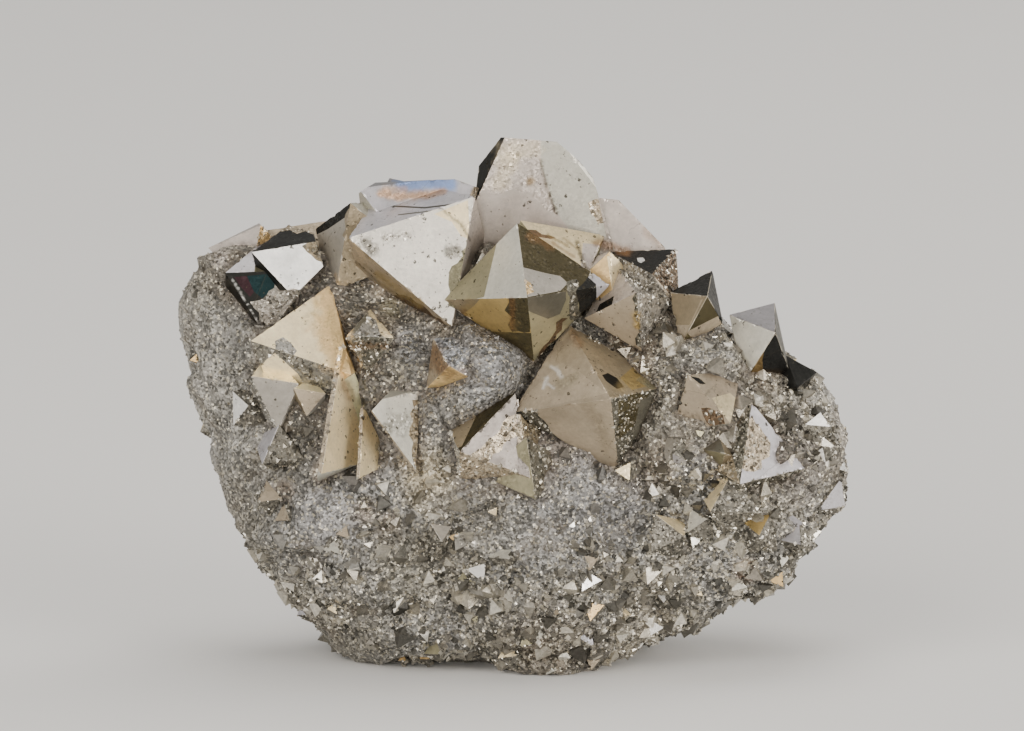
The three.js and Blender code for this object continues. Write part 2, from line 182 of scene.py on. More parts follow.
class DruseSettings(bpy.types.PropertyGroup):
    grain_density: FloatProperty(name="Grains", description="Grains per square metre where thickest",
                                 default=3.8e6, min=0)
    grain_smallest: length("Smallest grain", 0.00013, "Half length of the smallest grains")
    grain_largest: length("Largest grain", 0.00046, "Half length of the largest grains")
    druse_density: FloatProperty(name="Druse", description="Druse crystals per square metre where thickest",
                                 default=4.0e5, min=0)
    druse_smallest: length("Smallest druse", 0.0005, "Half length of the smallest druse crystals")
    druse_largest: length("Largest druse", 0.0018, "Half length of the largest druse crystals")
    seed: IntProperty(name="Seed", description="Seed of the strewing", default=5)


class StageSettings(bpy.types.PropertyGroup):
    floor_size: length("Floor", 8.0, "Side of the floor")
    floor_colour: colour("Floor colour", "dddcd9", "Colour of the plain floor")
    key_power: power("Key light", 14.5, "Power of the large light at the left")
    fill_power: power("Fill light", 23.0, "Power of the light at the right")
    top_power: power("Top light", 8.5, "Power of the light overhead")
    front_power: power("Front light", 15.5, "Power of the light behind the camera")
    rim_power: power("Rim light", 18.0, "Power of the light at the right, behind")
    light_colour: colour("Light colour", "fffaf5", "Colour of every light")


# ---------------------------------------------------------------- the matrix's shape
ROCK_CENTRE = (1.0, 33.0)
FRONT_DEPTH = 16.0
BACK_DEPTH = 20.0
BLOCKY = 0.62
RIM_RELIEF = 0.3
OUTLINE = [
    (-45.1, 47.1), (-44.5, 49.6), (-42.7, 52), (-41, 53.6), (-41.1, 55.1), (-38.5, 57.2),
    (-34, 58.3), (-26, 58.5), (-18, 58.5), (-8, 58.5), (2, 58.5), (9, 57), (15, 54), (20, 51.5),
    (25, 48.5), (30, 46.2), (35.9, 42.7), (40.3, 40.3), (42.3, 37.6), (43.9, 32.9), (44.6, 28),
    (44.3, 23.1), (42.7, 21.6), (41.1, 18.8), (38.7, 17.3), (36.9, 13.2), (33.8, 11.6), (28.5, 10.1),
    (24.5, 6.4), (19.5, 4.8), (15.9, 3.3), (11.7, 0.9), (7.8, -1.2), (2.5, -1.6), (-1.1, -0.7),
    (-4.6, 0.9), (-9.9, 1.5), (-18.1, 2), (-23.7, 3.5), (-26.1, 6.9), (-30.2, 11.3), (-35.3, 17.3),
    (-38.3, 24.5), (-40.6, 32.1), (-42.5, 36.9), (-43.5, 42.5),
]
LUMP_SEED = 7
OCTAVES = [(26, 1.5, 5), (11, 0.9, 6), (5.2, 0.5, 7)]  # length, height, waves
BULGES = [  # place, width, height
    ((-3.7, 42.2), 4.5, 4.5), ((-37, 49), 8, -4), ((-13, 48), 5, -2.5), ((-28.5, 41.5), 4, 1.5),
    ((17.2, 49), 4, 3), ((28, 43), 5, 2), ((-9, 30), 5, 1.5), ((2, 14), 12, 1.5), ((36, 24), 9, 1.5),
]


def repeatable(seed):
    """A small repeatable source of numbers from 0 to 1."""
    state = seed
    while True:
        state = (state * 1664525 + 1013904223) % 4294967296
        yield state / 4294967296


def random_direction(numbers):
    up = 2 * next(numbers) - 1
    turn = 2 * math.pi * next(numbers)
    flat = math.sqrt(1 - up * up)
    return np.array([flat * math.cos(turn), flat * math.sin(turn), up])


def lump_waves():
    numbers = repeatable(LUMP_SEED)
    waves = []
    for length, height, count in OCTAVES:
        for _ in range(count):
            run = random_direction(numbers) * 2 * math.pi / length
            waves.append((run, 2 * math.pi * next(numbers), height / math.sqrt(count)))
    return waves


def rim_radius(angles):
    """The outline's radius at angles about the matrix's centre."""
    offsets = np.array(OUTLINE) - ROCK_CENTRE
    turns = np.arctan2(offsets[:, 1], offsets[:, 0])
    order = np.argsort(turns)
    return np.interp(angles, turns[order], np.hypot(*offsets[order].T), period=2 * math.pi)


def bulge(x, y):
    total = np.zeros_like(x)
    for place, across, height in BULGES:
        total += height * np.exp(-((x - place[0]) ** 2 + (y - place[1]) ** 2) / across ** 2)
    return total


def rock_points(directions):
    """Show-plane points of the matrix's surface for directions from its centre."""
    x, y, z = directions.T
    angles = np.arctan2(y, x)
    reach = rim_radius(angles) * np.hypot(x, y) ** BLOCKY
    deepest = np.where(z > 0, FRONT_DEPTH, BACK_DEPTH)
    points = np.stack([
        ROCK_CENTRE[0] + reach * np.cos(angles),
        ROCK_CENTRE[1] + reach * np.sin(angles),
        np.sign(z) * deepest * np.abs(z) ** BLOCKY,
    ], 1)
    points[:, 2] += np.maximum(z, 0) * bulge(points[:, 0], points[:, 1])
    lumps = sum(height * np.sin(points @ run + phase) for run, phase, height in lump_waves())
    relief = RIM_RELIEF + (1 - RIM_RELIEF) * np.abs(z)
    return points + directions * (relief * lumps)[:, None]


def front_depth(x, y):
    """The matrix's mean front surface over a point of the show plane."""
    dx, dy = x - ROCK_CENTRE[0], y - ROCK_CENTRE[1]
    share = min(1.0, math.hypot(dx, dy) / float(rim_radius(math.atan2(dy, dx))))
    flat = share ** (1 / BLOCKY)
    return FRONT_DEPTH * (1 - flat * flat) ** (BLOCKY / 2) + float(bulge(np.array(x), np.array(y)))


# ---------------------------------------------------------------- octahedra
TIPPED = {"up": (0, 1), "down": (0, -1), "left": (-1, 0), "right": (1, 0)}


def regular_heart(corners, tipped):
    """The middle of a regular octahedron, as seen, from three corners of a face."""
    middle = corners.mean(0)
    x, y = (corners - middle).T
    shift = np.sqrt(complex(np.sum(x * x - y * y) / -3, np.sum(2 * x * y) / -3))
    shift = np.array([shift.real, shift.imag])
    return middle - shift if shift @ TIPPED[tipped] > 0 else middle + shift


def half_axes(corners, heart):
    """The three half axes of an octahedron from its face's corners and its middle, as seen."""
    flat = corners - heart
    reach = math.sqrt(np.sum(flat * flat) / 2)
    near = int(np.argmin(np.hypot(*flat.T)))
    near_depth = math.sqrt(reach * reach - flat[near] @ flat[near])
    depths = -(flat @ flat[near]) / near_depth
    depths[near] = near_depth
    return np.column_stack([flat, depths])


# Three corners of the face that shows, the way it is tipped or its middle, and its colour, which gives its
# tarnish together with its painted light or painted dark reflection.
SMALL_CRYSTALS = [
    ([(-37.1, 37.9), (-34.9, 36), (-37, 33.3)], "left", "silver"),
    ([(-34.3, 31.6), (-30.9, 33.5), (-33.1, 28.3)], "up", "lilac"),
    ([(-32.6, 26.1), (-33.8, 23.3), (-30.5, 23.7)], "up", "tan"),
    ([(-30.3, 23.1), (-31.5, 20.8), (-29.5, 20.9)], "left", "tan"),
    ([(21.5, 34.7), (24.2, 32.7), (21.5, 31.3)], "up", "silver"),
    ([(19, 31.9), (21.5, 31.7), (20.1, 28.4)], "left", "grey"),
    ([(20.9, 29.7), (23.7, 28.3), (21, 27.6)], "down", "lilac"),
    ([(28.9, 27.6), (24.6, 24.4), (25.8, 22.1)], "left", "cream"),
    ([(18.7, 21.7), (22.7, 20.8), (22.5, 18.8)], "up", "cream"),
    ([(23.3, 22.4), (25.5, 21.1), (22.7, 19.1)], "up", "white"),
    ([(28.6, 21.9), (34.3, 22.5), (32.3, 18.9)], "up", "gold"),
    ([(33.9, 18.5), (37.7, 21.2), (37.9, 17.6)], "up", "lilac"),
    ([(38.5, 33.5), (40.6, 35.1), (41.8, 33.2)], "up", "silver"),
    ([(40.2, 22.1), (43.3, 26.4), (43.9, 22.6)], (41.9, 23.3), "lilac"),
    ([(35.9, 42.7), (40.2, 40.4), (37.5, 38.3)], "up", "pitch"),
    ([(-0.5, 18.7), (-3.4, 16.1), (-0.2, 15.9)], "up", "white"),
    ([(-10.9, 20.5), (-8.1, 20.1), (-9.4, 18.1)], "up", "grey"),
    ([(-6.3, 14.5), (-3.7, 15.3), (-3.9, 12.7)], "left", "silver"),
    ([(16.9, 50), (18.5, 48.4), (16.6, 47.6)], "up", "white"),
]
SMALL_PROUD = 0.8  # how far a small crystal stands out of the rock
DRUSE_SEED = 23
DRUSE_TRIES = 210
DRUSE_REACH = (0.9, 2.2)  # half lengths
DRUSE_SUNK = 0.35  # share of its half length that lies in the rock
SAME_CORNER = 0.01 * MM
STREWN_COLOURS = ["silver", "cream", "lilac", "tan", "cream", "grey", "white", "olive", "silver", "honey"]
COLOUR_STRIDE = 7


def small_octahedra():
    """Middle and half axes of each measured small crystal, with its colour."""
    for corners, way, tint in SMALL_CRYSTALS:
        corners = np.array(corners, float)
        heart = regular_heart(corners, way) if isinstance(way, str) else np.array(way)
        axes = half_axes(corners, heart)
        depth = front_depth(*corners.mean(0)) + SMALL_PROUD
        yield np.array([*heart, depth - axes[:, 2].mean()]), axes, tint


def strewn_octahedra():
    """The same for the strewn ones, of which the solid's own corners tell which are there."""
    solid = np.array([v.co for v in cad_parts["matrix"].data.vertices])
    corners = KDTree(len(solid))
    for i, co in enumerate(solid):
        corners.insert(co, i)
    corners.balance()
    numbers = repeatable(DRUSE_SEED)
    for i in range(DRUSE_TRIES):
        direction = random_direction(numbers)
        size = next(numbers)
        reach = DRUSE_REACH[0] + (DRUSE_REACH[1] - DRUSE_REACH[0]) * size * size
        centre = rock_points(direction[None])[0] - direction * DRUSE_SUNK * reach
        first = random_direction(numbers)
        second = np.cross(random_direction(numbers), first)
        second /= np.linalg.norm(second)
        axes = np.array([first, second, np.cross(first, second)]) * reach
        next(numbers)  # the solid's own program draws one more here
        tips = stood(np.concatenate([centre + axes, centre - axes]))
        if min(corners.find(tip)[2] for tip in tips) < SAME_CORNER:
            yield centre, axes, STREWN_COLOURS[i * COLOUR_STRIDE % len(STREWN_COLOURS)]


# ---------------------------------------------------------------- what the faces look like
# Picture point on a crystal face, its colour, how light it is, how pitted and how grainy it is. Colour and
# lightness give the face's tarnish together with its painted light, painted shade and painted reflections.
FACES = [
    # the peak and its shoulder
    (488, 165, "pitch", 1.3, 0.1, 0.1), (520, 215, "rose", 1.04, 0.25, 0), (585, 170, "white", 0.95, 0.2, 0),
    (607, 228, "rose", 0.95, 0.2, 0.3), (635, 228, "rose", 1.0, 0.2, 0),
    # the large left crystal and the stepped one behind its top
    (411, 192, "lilac", 0.85, 0.1, 0), (394, 180, "lilac", 0.5, 0, 0), (388, 183, "lilac", 0.55, 0, 0),
    (420, 211, "lilac", 1.15, 0.3, 0), (424, 262, "ivory", 1.0, 0.35, 0.05),
    (390, 278, "tan", 1.12, 0.4, 0.3), (475, 192, "tan", 1.0, 0, 1), (365, 202, "white", 1.0, 0.2, 0.2),
    (361, 208, "white", 0.92, 0.2, 0.2),
    (470, 232, "rose", 1.15, 0.3, 0.2), (350, 252, "taupe", 1.05, 0.3, 0.4), (334, 245, "grey", 1.2, 0.2, 0),
    # the centre
    (500, 280, "white", 1.02, 0.1, 0), (552, 262, "dark_olive", 0.78, 0.3, 0.6),
    (501, 312, "gold", 1.35, 0.2, 0), (555, 325, "olive", 1.0, 0.3, 0),
    # between the centre and the roof, the roof, and those below it
    (567, 242, "cream", 0.85, 0.3, 0.2), (599, 258, "rose", 1.15, 0.1, 0),
    (604, 273, "honey", 0.72, 0.2, 0.1),
    (615, 268, "cream", 0.8, 0.2, 0), (613, 295, "rose", 0.95, 0.3, 0.4), (646, 258, "pitch", 0.55, 0, 0.3),
    (668, 275, "brown_matrix", 0.7, 0, 1), (635, 272, "grey", 0.75, 0, 1), (639, 286, "grey", 0.8, 0, 1),
    (655, 288, "grey", 0.8, 0, 1), (650, 314, "grey", 0.85, 0, 1), (618, 322, "tan", 0.95, 0.3, 0),
    # the front crystal
    (566, 372, "tan", 0.97, 0.1, 0), (613, 360, "taupe", 1.0, 0.4, 0.2), (580, 430, "tan", 1.15, 0.1, 0),
    (630, 419, "slate", 1.1, 0, 1),
    # gable, ridge, wing and slope
    (696, 285, "pitch", 1.3, 0, 0.3), (714, 297, "pitch", 0.15, 0, 0.2), (684, 308, "taupe", 1.0, 0.1, 0),
    (706, 316, "dark_olive", 0.9, 0.1, 0), (760, 316, "lilac", 0.46, 0.3, 0),
    (750, 339, "white", 1.2, 0.1, 0),
    (773, 357, "pitch", 0.7, 0, 0.3), (780, 336, "slate", 0.4, 0.2, 0.2), (720, 393, "tan", 0.85, 0.3, 0.1),
    (702, 402, "tan", 0.85, 0.2, 0), (683, 387, "slate", 0.9, 0, 1), (775, 455, "lilac", 0.98, 0.1, 0),
    (740, 445, "slate", 1.0, 0, 1), (766, 481, "slate", 1.0, 0, 1), (715, 448, "slate", 1.15, 0.3, 0),
    (714, 457, "olive", 0.7, 0.3, 0), (728, 469, "taupe", 0.9, 0, 1), (728, 481, "slate", 0.9, 0, 1),
    # the upper left corner
    (245, 231, "rose", 1.05, 0.2, 0), (240, 239, "rose", 1.05, 0.2, 0), (288, 239, "pitch", 0.6, 0.2, 0.1),
    (263, 236, "honey", 1.1, 0.3, 0.9), (292, 266, "silver", 1.08, 0.2, 0),
    (245, 267, "lilac", 1.0, 0.1, 0), (269, 274, "pitch", 1.0, 0, 0), (262, 292, "pitch", 1.3, 0.1, 0.1),
    (239, 299, "pitch", 0.3, 0, 0), (294, 302, "pale_matrix", 1.7, 0, 1),
    (349, 286, "pale_matrix", 1.5, 0, 1),
    # triangle, the pair under it, the blades
    (309, 331, "cream", 1.12, 0.1, 0), (345, 335, "honey", 1.2, 0.2, 0.2),
    (348, 363, "honey", 1.15, 0.1, 0.2),
    (351, 366, "honey", 1.2, 0.2, 0.2), (346, 375, "honey", 1.1, 0.2, 0.3), (290, 368, "matrix", 1.1, 0, 1),
    (273, 376, "cream", 1.0, 0.1, 0), (275, 396, "grey", 0.97, 0.05, 0), (260, 403, "pale_matrix", 1.1, 0, 1),
    (310, 388, "cream", 1.2, 0.1, 0.1), (298, 402, "taupe", 1.1, 0, 0.3), (309, 398, "tan", 1.1, 0, 0.1),
    (289, 412, "silver", 1.0, 0.3, 0), (318, 405, "silver", 0.95, 0.1, 0), (331, 406, "tan", 0.85, 0, 1),
    (342, 429, "cream", 1.12, 0.35, 0), (355, 388, "cream", 1.3, 0.2, 0.1), (360, 442, "tan", 0.9, 0, 1),
    (372, 452, "cream", 1.15, 0.6, 0), (333, 474, "white", 1.15, 0.1, 0),
    # between them and the centre, and the wedges
    (372, 325, "cream", 1.0, 0.3, 0.4), (370, 349, "slate", 0.9, 0, 1), (355, 354, "pale_matrix", 0.9, 0, 1),
    (385, 352, "pale_matrix", 0.9, 0, 1), (462, 343, "quartz", 1.1, 0, 1), (470, 362, "quartz", 1.1, 0, 1),
    (434, 360, "tan", 1.0, 0.3, 0.4), (454, 380, "honey", 1.3, 0.4, 0.2), (399, 393, "white", 0.95, 0.1, 0),
    (402, 420, "white", 1.0, 0.4, 0), (394, 442, "tan", 0.9, 0.2, 0.5),
    (470, 423, "dark_olive", 0.65, 0.2, 0.5),
    (498, 439, "rose", 0.32, 0.3, 0.1), (520, 430, "tan", 0.95, 0, 1), (532, 432, "taupe", 1.1, 0, 1),
    (455, 452, "pale_matrix", 1.3, 0, 1), (522, 473, "rose", 0.4, 0.2, 0.5), (540, 466, "slate", 1.0, 0, 1),
    (481, 468, "tan", 1.3, 0.2, 1), (521, 494, "grey", 0.8, 0.2, 0.2),
]

# Outlined parts of one face: a point of that face, the outline, colour, lightness and grain. Colour and
# lightness give tarnish together with painted light, painted shade and painted reflections.
PATCHES = [
    # the peak: granular crest, paler right half, glittering spot by the shoulder
    ((520, 215), [(495, 137), (541, 137), (546, 152), (541, 164), (536, 186), (548, 196), (558, 214),
                  (546, 210), (530, 192), (514, 188), (500, 194), (488, 192), (480, 180)], "rose", 1.14, 0.5),
    ((520, 215), [(541, 136), (580, 140), (606, 205), (606, 236), (572, 233), (556, 212), (541, 164)],
     "white", 0.93, 0.15),
    ((520, 215), [(588, 203), (604, 199), (607, 222), (598, 224), (590, 212)], "tan", 1.1, 0.9),
    # the large left crystal: upper right corner, broken right rim, growth steps, dark lower rim
    ((424, 262), [(434, 214), (468, 200), (470, 240), (461, 236), (452, 222)], "cream", 0.98, 0),
    ((424, 262), [(466, 240), (461, 258), (449, 272), (448, 298), (456, 318), (466, 300), (470, 240)],
     "olive", 0.65, 0.7),
    ((420, 211), [(375, 204.4), (425, 206.9), (462, 202.5), (462, 204), (425, 208.6), (375, 206)],
     "slate", 0.75, 0),
    ((420, 211), [(398, 214.2), (440, 209.4), (440, 210.6), (398, 215.4)], "slate", 1.2, 0),
    ((390, 278), [(384, 293), (404, 295), (452, 328), (455, 342), (420, 326), (392, 311)],
     "brown_matrix", 0.8, 0.4),
    ((390, 278), [(374, 300), (396, 299), (415, 309), (408, 316), (386, 314)], "olive", 0.95, 0.2),
    ((334, 245), [(314, 236), (328, 229), (350, 214), (364, 196), (366, 188), (340, 190), (314, 224)],
     "pitch", 1.0, 0.3),
    ((334, 245), [(345, 215), (364, 196), (357, 250), (345, 262)], "tan", 0.85, 0.4),
    # the centre
    ((500, 280), [(439, 302), (470, 250), (498, 238), (484, 297), (460, 303)], "olive", 1.0, 0),
    ((552, 262), [(522, 267), (545, 273), (560, 276), (568, 283), (560, 291), (528, 297), (524, 284)],
     "grey", 1.0, 0.1),
    ((552, 262), [(522, 276), (531, 283), (534, 292), (524, 296)], "honey", 0.8, 0.9),
    ((552, 262), [(566, 282), (577, 279), (579, 311), (568, 312)], "slate", 1.1, 0.9),
    ((552, 262), [(577, 289), (588, 277), (596, 284), (597, 308), (590, 312), (579, 311)],
     "pitch", 1.3, 0.45),
    ((555, 325), [(524, 292), (566, 290), (566, 300), (560, 314), (548, 319), (528, 311)], "slate", 1.0, 0),
    ((555, 325), [(566, 290), (577, 286), (579, 311), (590, 313), (582, 322), (570, 320)], "slate", 1.1, 0.9),
    ((555, 325), [(577, 286), (596, 280), (597, 308), (590, 313), (579, 311)], "pitch", 1.3, 0.45),
    ((555, 325), [(596, 278), (610, 272), (606, 304), (597, 309)], "lilac", 1.1, 0),
    ((552, 262), [(588, 277), (600, 268), (612, 268), (606, 304), (597, 309), (596, 284)], "lilac", 1.1, 0),
    ((555, 325), [(562, 318), (568, 318), (539, 362), (533, 364)], "brown_matrix", 0.7, 0.6),
    ((501, 312), [(441, 299), (480, 299), (474, 306), (460, 316)], "taupe", 0.9, 0.1),
    ((501, 312), [(508, 295), (529, 295), (530, 332), (512, 332)], "dark_olive", 1.0, 0.6),
    ((501, 312), [(476, 331), (532, 333), (536, 362), (520, 352), (495, 341)], "dark_olive", 1.25, 0.3),
    # between the centre and the roof
    ((567, 242), [(520, 227), (536, 230), (556, 238), (545, 238), (530, 234)], "brown_matrix", 1.0, 0.6),
    ((567, 242), [(583, 243), (612, 246), (605, 262), (580, 276)], "rose", 1.12, 0),
    ((604, 273), [(607, 256), (622, 256), (622, 300), (612, 290)], "cream", 0.85, 0.1),
    ((613, 295), [(600, 304), (614, 296), (610, 312), (596, 312)], "pitch", 1.2, 0.3),
    ((646, 258), [(637, 258), (643, 257.5), (645, 260.5), (641, 263), (638, 261.5)], "silver", 0.8, 0),
    ((618, 322), [(636, 292), (645, 290), (645, 350), (636, 345)], "slate", 0.9, 1),
    # the front crystal: pale lower half, scratches, black hole, yellow stain, druse
    ((566, 372), [(514, 414), (520, 400), (545, 378), (560, 362), (580, 372), (600, 388), (608, 393)],
     "tan", 1.12, 0),
    ((613, 360), [(602, 375), (608, 373), (617, 378), (624, 387), (617, 389), (606, 381)], "pitch", 0.5, 0),
    ((613, 360), [(620, 378), (634, 366), (654, 372), (648, 386), (632, 390)], "gold", 0.9, 0.3),
    ((613, 360), [(636, 380), (652, 366), (660, 384), (652, 390)], "olive", 0.9, 0.1),
    ((613, 360), [(583, 330), (600, 328), (615, 340), (606, 346), (592, 342)], "taupe", 1.0, 1),
    ((580, 430), [(511, 411), (537, 409), (548, 425), (556, 436), (574, 456), (560, 455), (530, 432)],
     "slate", 1.0, 1),
    ((630, 419), [(618, 400), (650, 392), (645, 410), (630, 430), (617, 440)], "dark_olive", 1.1, 0.9),
    ((630, 419), [(640, 400), (655, 395), (645, 425), (632, 440)], "slate", 1.3, 0.2),
    # gable, ridge, wing and slope
    ((684, 308), [(672, 325), (690, 325), (684, 345)], "tan", 1.1, 0.1),
    ((684, 308), [(701, 300), (703, 299), (687, 333), (685, 334)], "tan", 1.0, 0.1),
    ((706, 316), [(686, 332), (724, 313), (724, 322), (695, 341)], "tan", 1.0, 0.2),
    ((773, 357), [(738, 366), (764, 352), (764, 376), (740, 376)], "amber", 0.7, 0.5),
    ((720, 393), [(712, 398), (730, 393), (740, 402), (738, 414), (728, 424)], "cream", 0.72, 0.2),
    ((720, 393), [(690, 376), (699, 378), (706, 384), (700, 384)], "pitch", 1.0, 0.2),
    ((702, 402), [(701, 408), (716, 411), (731, 428), (712, 428)], "brown_matrix", 0.7, 0.8),
    ((775, 455), [(752, 415), (760, 427), (767, 437), (770, 450), (762, 468), (745, 471), (736, 462),
                  (742, 436)], "tan", 1.0, 1),
    # the upper left corner: rock over the dark band, films on the dark face, rough rock under it
    ((288, 239), [(245, 212), (335, 212), (336, 238), (312, 234), (290, 230), (267, 235), (256, 250),
                  (243, 248)], "tan", 1.1, 0.9),
    ((292, 266), [(302, 246), (314, 240), (330, 246), (328, 264), (316, 260), (307, 252)],
     "taupe", 0.85, 0.8),
    ((262, 292), [(247, 276), (277, 273), (274, 288), (262, 298), (252, 290)], "petrol", 1.0, 0.3),
    ((262, 292), [(234, 277), (247, 276), (254, 292), (250, 297), (240, 286)], "wine", 1.0, 0.3),
    ((262, 292), [(277, 272), (292, 276), (312, 290), (268, 332), (250, 302), (260, 300), (274, 288)],
     "grey", 0.8, 1),
    ((245, 267), [(256, 255), (270, 273), (254, 275)], "olive", 0.8, 0),
    # the left group and the wedges
    ((309, 331), [(275, 341), (283, 337), (291, 343), (297, 351), (291, 359), (281, 362), (274, 353)],
     "pale_matrix", 0.85, 1),
    ((290, 368), [(252, 378), (266, 360), (275, 353), (284, 361), (298, 374), (304, 384), (300, 388),
                  (270, 380)], "cream", 1.15, 0),
    ((309, 398), [(300, 404), (325, 396), (318, 408), (306, 410)], "tan", 1.1, 0),
    ((372, 325), [(346, 342), (352, 322), (366, 310), (376, 320), (385, 338)], "pale_matrix", 0.95, 1),
    ((372, 325), [(348, 332), (368, 308), (366, 320), (354, 334)], "slate", 1.3, 0.2),
    ((470, 423), [(444, 430), (468, 408), (478, 412), (462, 446), (458, 448)], "taupe", 1.2, 0.1),
    ((498, 439), [(468, 458), (516, 414), (520, 431), (480, 470)], "tan", 1.1, 1),
    ((498, 439), [(480, 470), (520, 433), (526, 446), (494, 476)], "rose", 0.3, 0.1),
    ((402, 420), [(412, 400), (420, 400), (420, 470), (412, 456)], "taupe", 1.0, 1),
]

# Stains and rough places on crystals: line followed, half width in pixels, colour, strength and grain.
STAINS = [
    ([(402, 184), (425, 183), (450, 185)], 8, "blue", 1.0, 0.1),
    ([(380, 194), (400, 197), (425, 195), (444, 191)], 4.5, "orange", 0.75, 0.35),
    ([(385, 189), (404, 190)], 4, "orange", 0.5, 0.3),
    ([(366, 243), (372, 250)], 7, "slate", 0.75, 0.95),
    ([(448, 252), (458, 250)], 6, "slate", 0.7, 0.95),
    ([(385, 238), (405, 236)], 5, "grey", 0.4, 0.92),
    ([(531, 182)], 5, "amber", 0.8, 0.5),
    ([(512, 160), (500, 182)], 10, "cream", 0.35, 0.6),
    ([(505, 152), (532, 148)], 12, "cream", 0.3, 0.6),
    ([(541, 160), (546, 186), (557, 213)], 1.8, "dark_olive", 0.6, 0.7),
    ([(356, 262), (378, 282), (402, 297)], 1.4, "dark_olive", 0.5, 0),
    ([(364, 264), (392, 286)], 1.2, "dark_olive", 0.4, 0),
    ([(231, 277), (247, 304), (263, 331)], 0.7, "silver", 0.5, 0.4),
    ([(548, 235), (568, 246)], 1.6, "amber", 0.6, 0.2),
    ([(553, 243), (574, 257)], 1.6, "rust", 0.45, 0.3),
    ([(563, 238), (578, 249)], 1.6, "amber", 0.5, 0.2),
    ([(660, 243), (648, 232)], 6, "rust", 0.35, 0.3),
    ([(596, 243), (612, 246), (626, 252)], 5, "rust", 0.65, 0.4),
    ([(530, 236), (552, 246)], 5, "rust", 0.35, 0.3),
    ([(470, 310), (490, 318), (505, 326)], 10, "gold", 0.5, 0.1),
    ([(462, 314), (466, 326), (480, 334)], 4, "rust", 0.55, 0.4),
    ([(512, 300), (512, 328)], 3, "rust", 0.5, 0.4),
    ([(636, 316), (638, 326)], 4, "gold", 0.9, 0.4),
    ([(582, 326), (600, 334)], 6, "rust", 0.5, 0.5),
    ([(572, 332), (580, 345)], 5, "rust", 0.4, 0.4),
    ([(622, 385), (640, 380)], 7, "gold", 0.4, 0.4),
    ([(560, 385), (575, 378)], 6, "olive", 0.35, 0.2),
    ([(543, 388), (547, 378)], 1.8, "silver", 0.7, 0),
    ([(552, 367), (558, 371), (561, 376)], 2.2, "silver", 0.55, 0.2),
    ([(548, 384), (554, 388)], 1.4, "silver", 0.5, 0),
    ([(328, 294), (333, 330), (341, 360)], 16, "honey", 0.95, 0.2),
    ([(318, 326), (330, 345), (342, 362)], 10, "honey", 0.6, 0.25),
    ([(378, 274), (398, 290), (420, 304)], 5, "gold", 0.6, 0.3),
    ([(577, 243), (583, 262), (592, 277)], 2.2, "dark_olive", 0.7, 0.8),
    ([(440, 208), (462, 225), (470, 240)], 1.2, "dark_olive", 0.6, 0.2),
    ([(330, 316), (338, 340), (347, 366)], 6, "gold", 0.4, 0.4),
    ([(305, 320), (316, 310)], 4, "gold", 0.25, 0.3),
    ([(345, 384), (350, 396)], 7, "rust", 0.6, 0.4),
    ([(386, 430), (382, 450)], 6, "slate", 0.5, 0.9),
    ([(392, 418), (400, 430), (408, 418)], 7, "slate", 0.3, 0.5),
    ([(434, 350), (440, 366), (450, 374)], 8, "rust", 0.6, 0.5),
    ([(586, 400), (600, 425), (606, 445)], 7, "taupe", 0.35, 0.2),
    ([(460, 372), (470, 384)], 6, "orange", 0.25, 0.2),
    ([(352, 346), (388, 346)], 4, "brown_matrix", 0.8, 0.9),
]

# Broad colours of the rock: picture point, radius in pixels, colour and strength.
ROCK_STAINS = [
    (742, 302, 9, "cream", 0.8), (425, 476, 30, "cream", 0.5), (222, 258, 10, "rose", 0.6),
    (485, 365, 50, "quartz", 0.55), (520, 560, 80, "quartz", 0.15), (600, 520, 60, "quartz", 0.3),
    (215, 350, 60, "pale_matrix", 0.7), (240, 470, 60, "pale_matrix", 0.4),
    (230, 420, 50, "pale_matrix", 0.5), (710, 355, 30, "pale_matrix", 0.5),
    (800, 460, 50, "brown_matrix", 0.25), (727, 520, 9, "rust", 0.8), (745, 570, 10, "rust", 0.7),
    (365, 510, 14, "brown_matrix", 0.6), (390, 520, 12, "brown_matrix", 0.5),
    (640, 355, 25, "brown_matrix", 0.4), (650, 470, 25, "brown_matrix", 0.4),
    (560, 445, 30, "brown_matrix", 0.3), (285, 490, 12, "brown_matrix", 0.6), (440, 380, 14, "amber", 0.4),
    (620, 345, 14, "amber", 0.5), (320, 470, 10, "tan", 0.7), (620, 440, 20, "slate", 0.3),
    (400, 600, 60, "matrix", 0.3), (560, 660, 60, "brown_matrix", 0.25), (410, 340, 20, "quartz", 0.5),
    (350, 420, 20, "quartz", 0.3), (392, 308, 13, "olive", 0.7), (420, 321, 16, "slate", 0.5),
    (352, 312, 10, "slate", 0.6), (378, 291, 10, "tan", 0.6), (410, 560, 45, "slate", 0.35),
    (330, 520, 35, "lilac", 0.2), (610, 500, 40, "lilac", 0.15), (700, 470, 25, "quartz", 0.4),
]

# Where druse is thick (1) or missing (0) on the rock: picture point, radius in pixels and share.
DRUSE_SPOTS = [
    (430, 475, 34, 1.0), (650, 300, 30, 1.0), (700, 350, 34, 0.6), (785, 385, 36, 1.0), (650, 400, 30, 1.0),
    (665, 500, 40, 0.9), (485, 365, 46, 0.05), (215, 370, 55, 0.15), (600, 515, 45, 0.35),
    (610, 610, 90, 1.0), (742, 303, 14, 1.0), (460, 620, 90, 0.9), (720, 560, 60, 1.0), (284, 450, 12, 1.0),
    (235, 480, 45, 0.3), (400, 350, 30, 0.35), (392, 306, 20, 0.1), (352, 310, 14, 0.0), (520, 540, 40, 0.3),
    (330, 430, 30, 0.4), (370, 505, 30, 0.9), (740, 500, 40, 1.0), (810, 450, 30, 0.9),
]
CRYSTAL_NODES = [name for name in sorted(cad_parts) if name != "matrix"]
DEFAULT_LOOKS = [
    ("rose", 0.95), ("tan", 0.95), ("white", 0.85), ("taupe", 1.0), ("grey", 0.9), ("olive", 0.9),
]

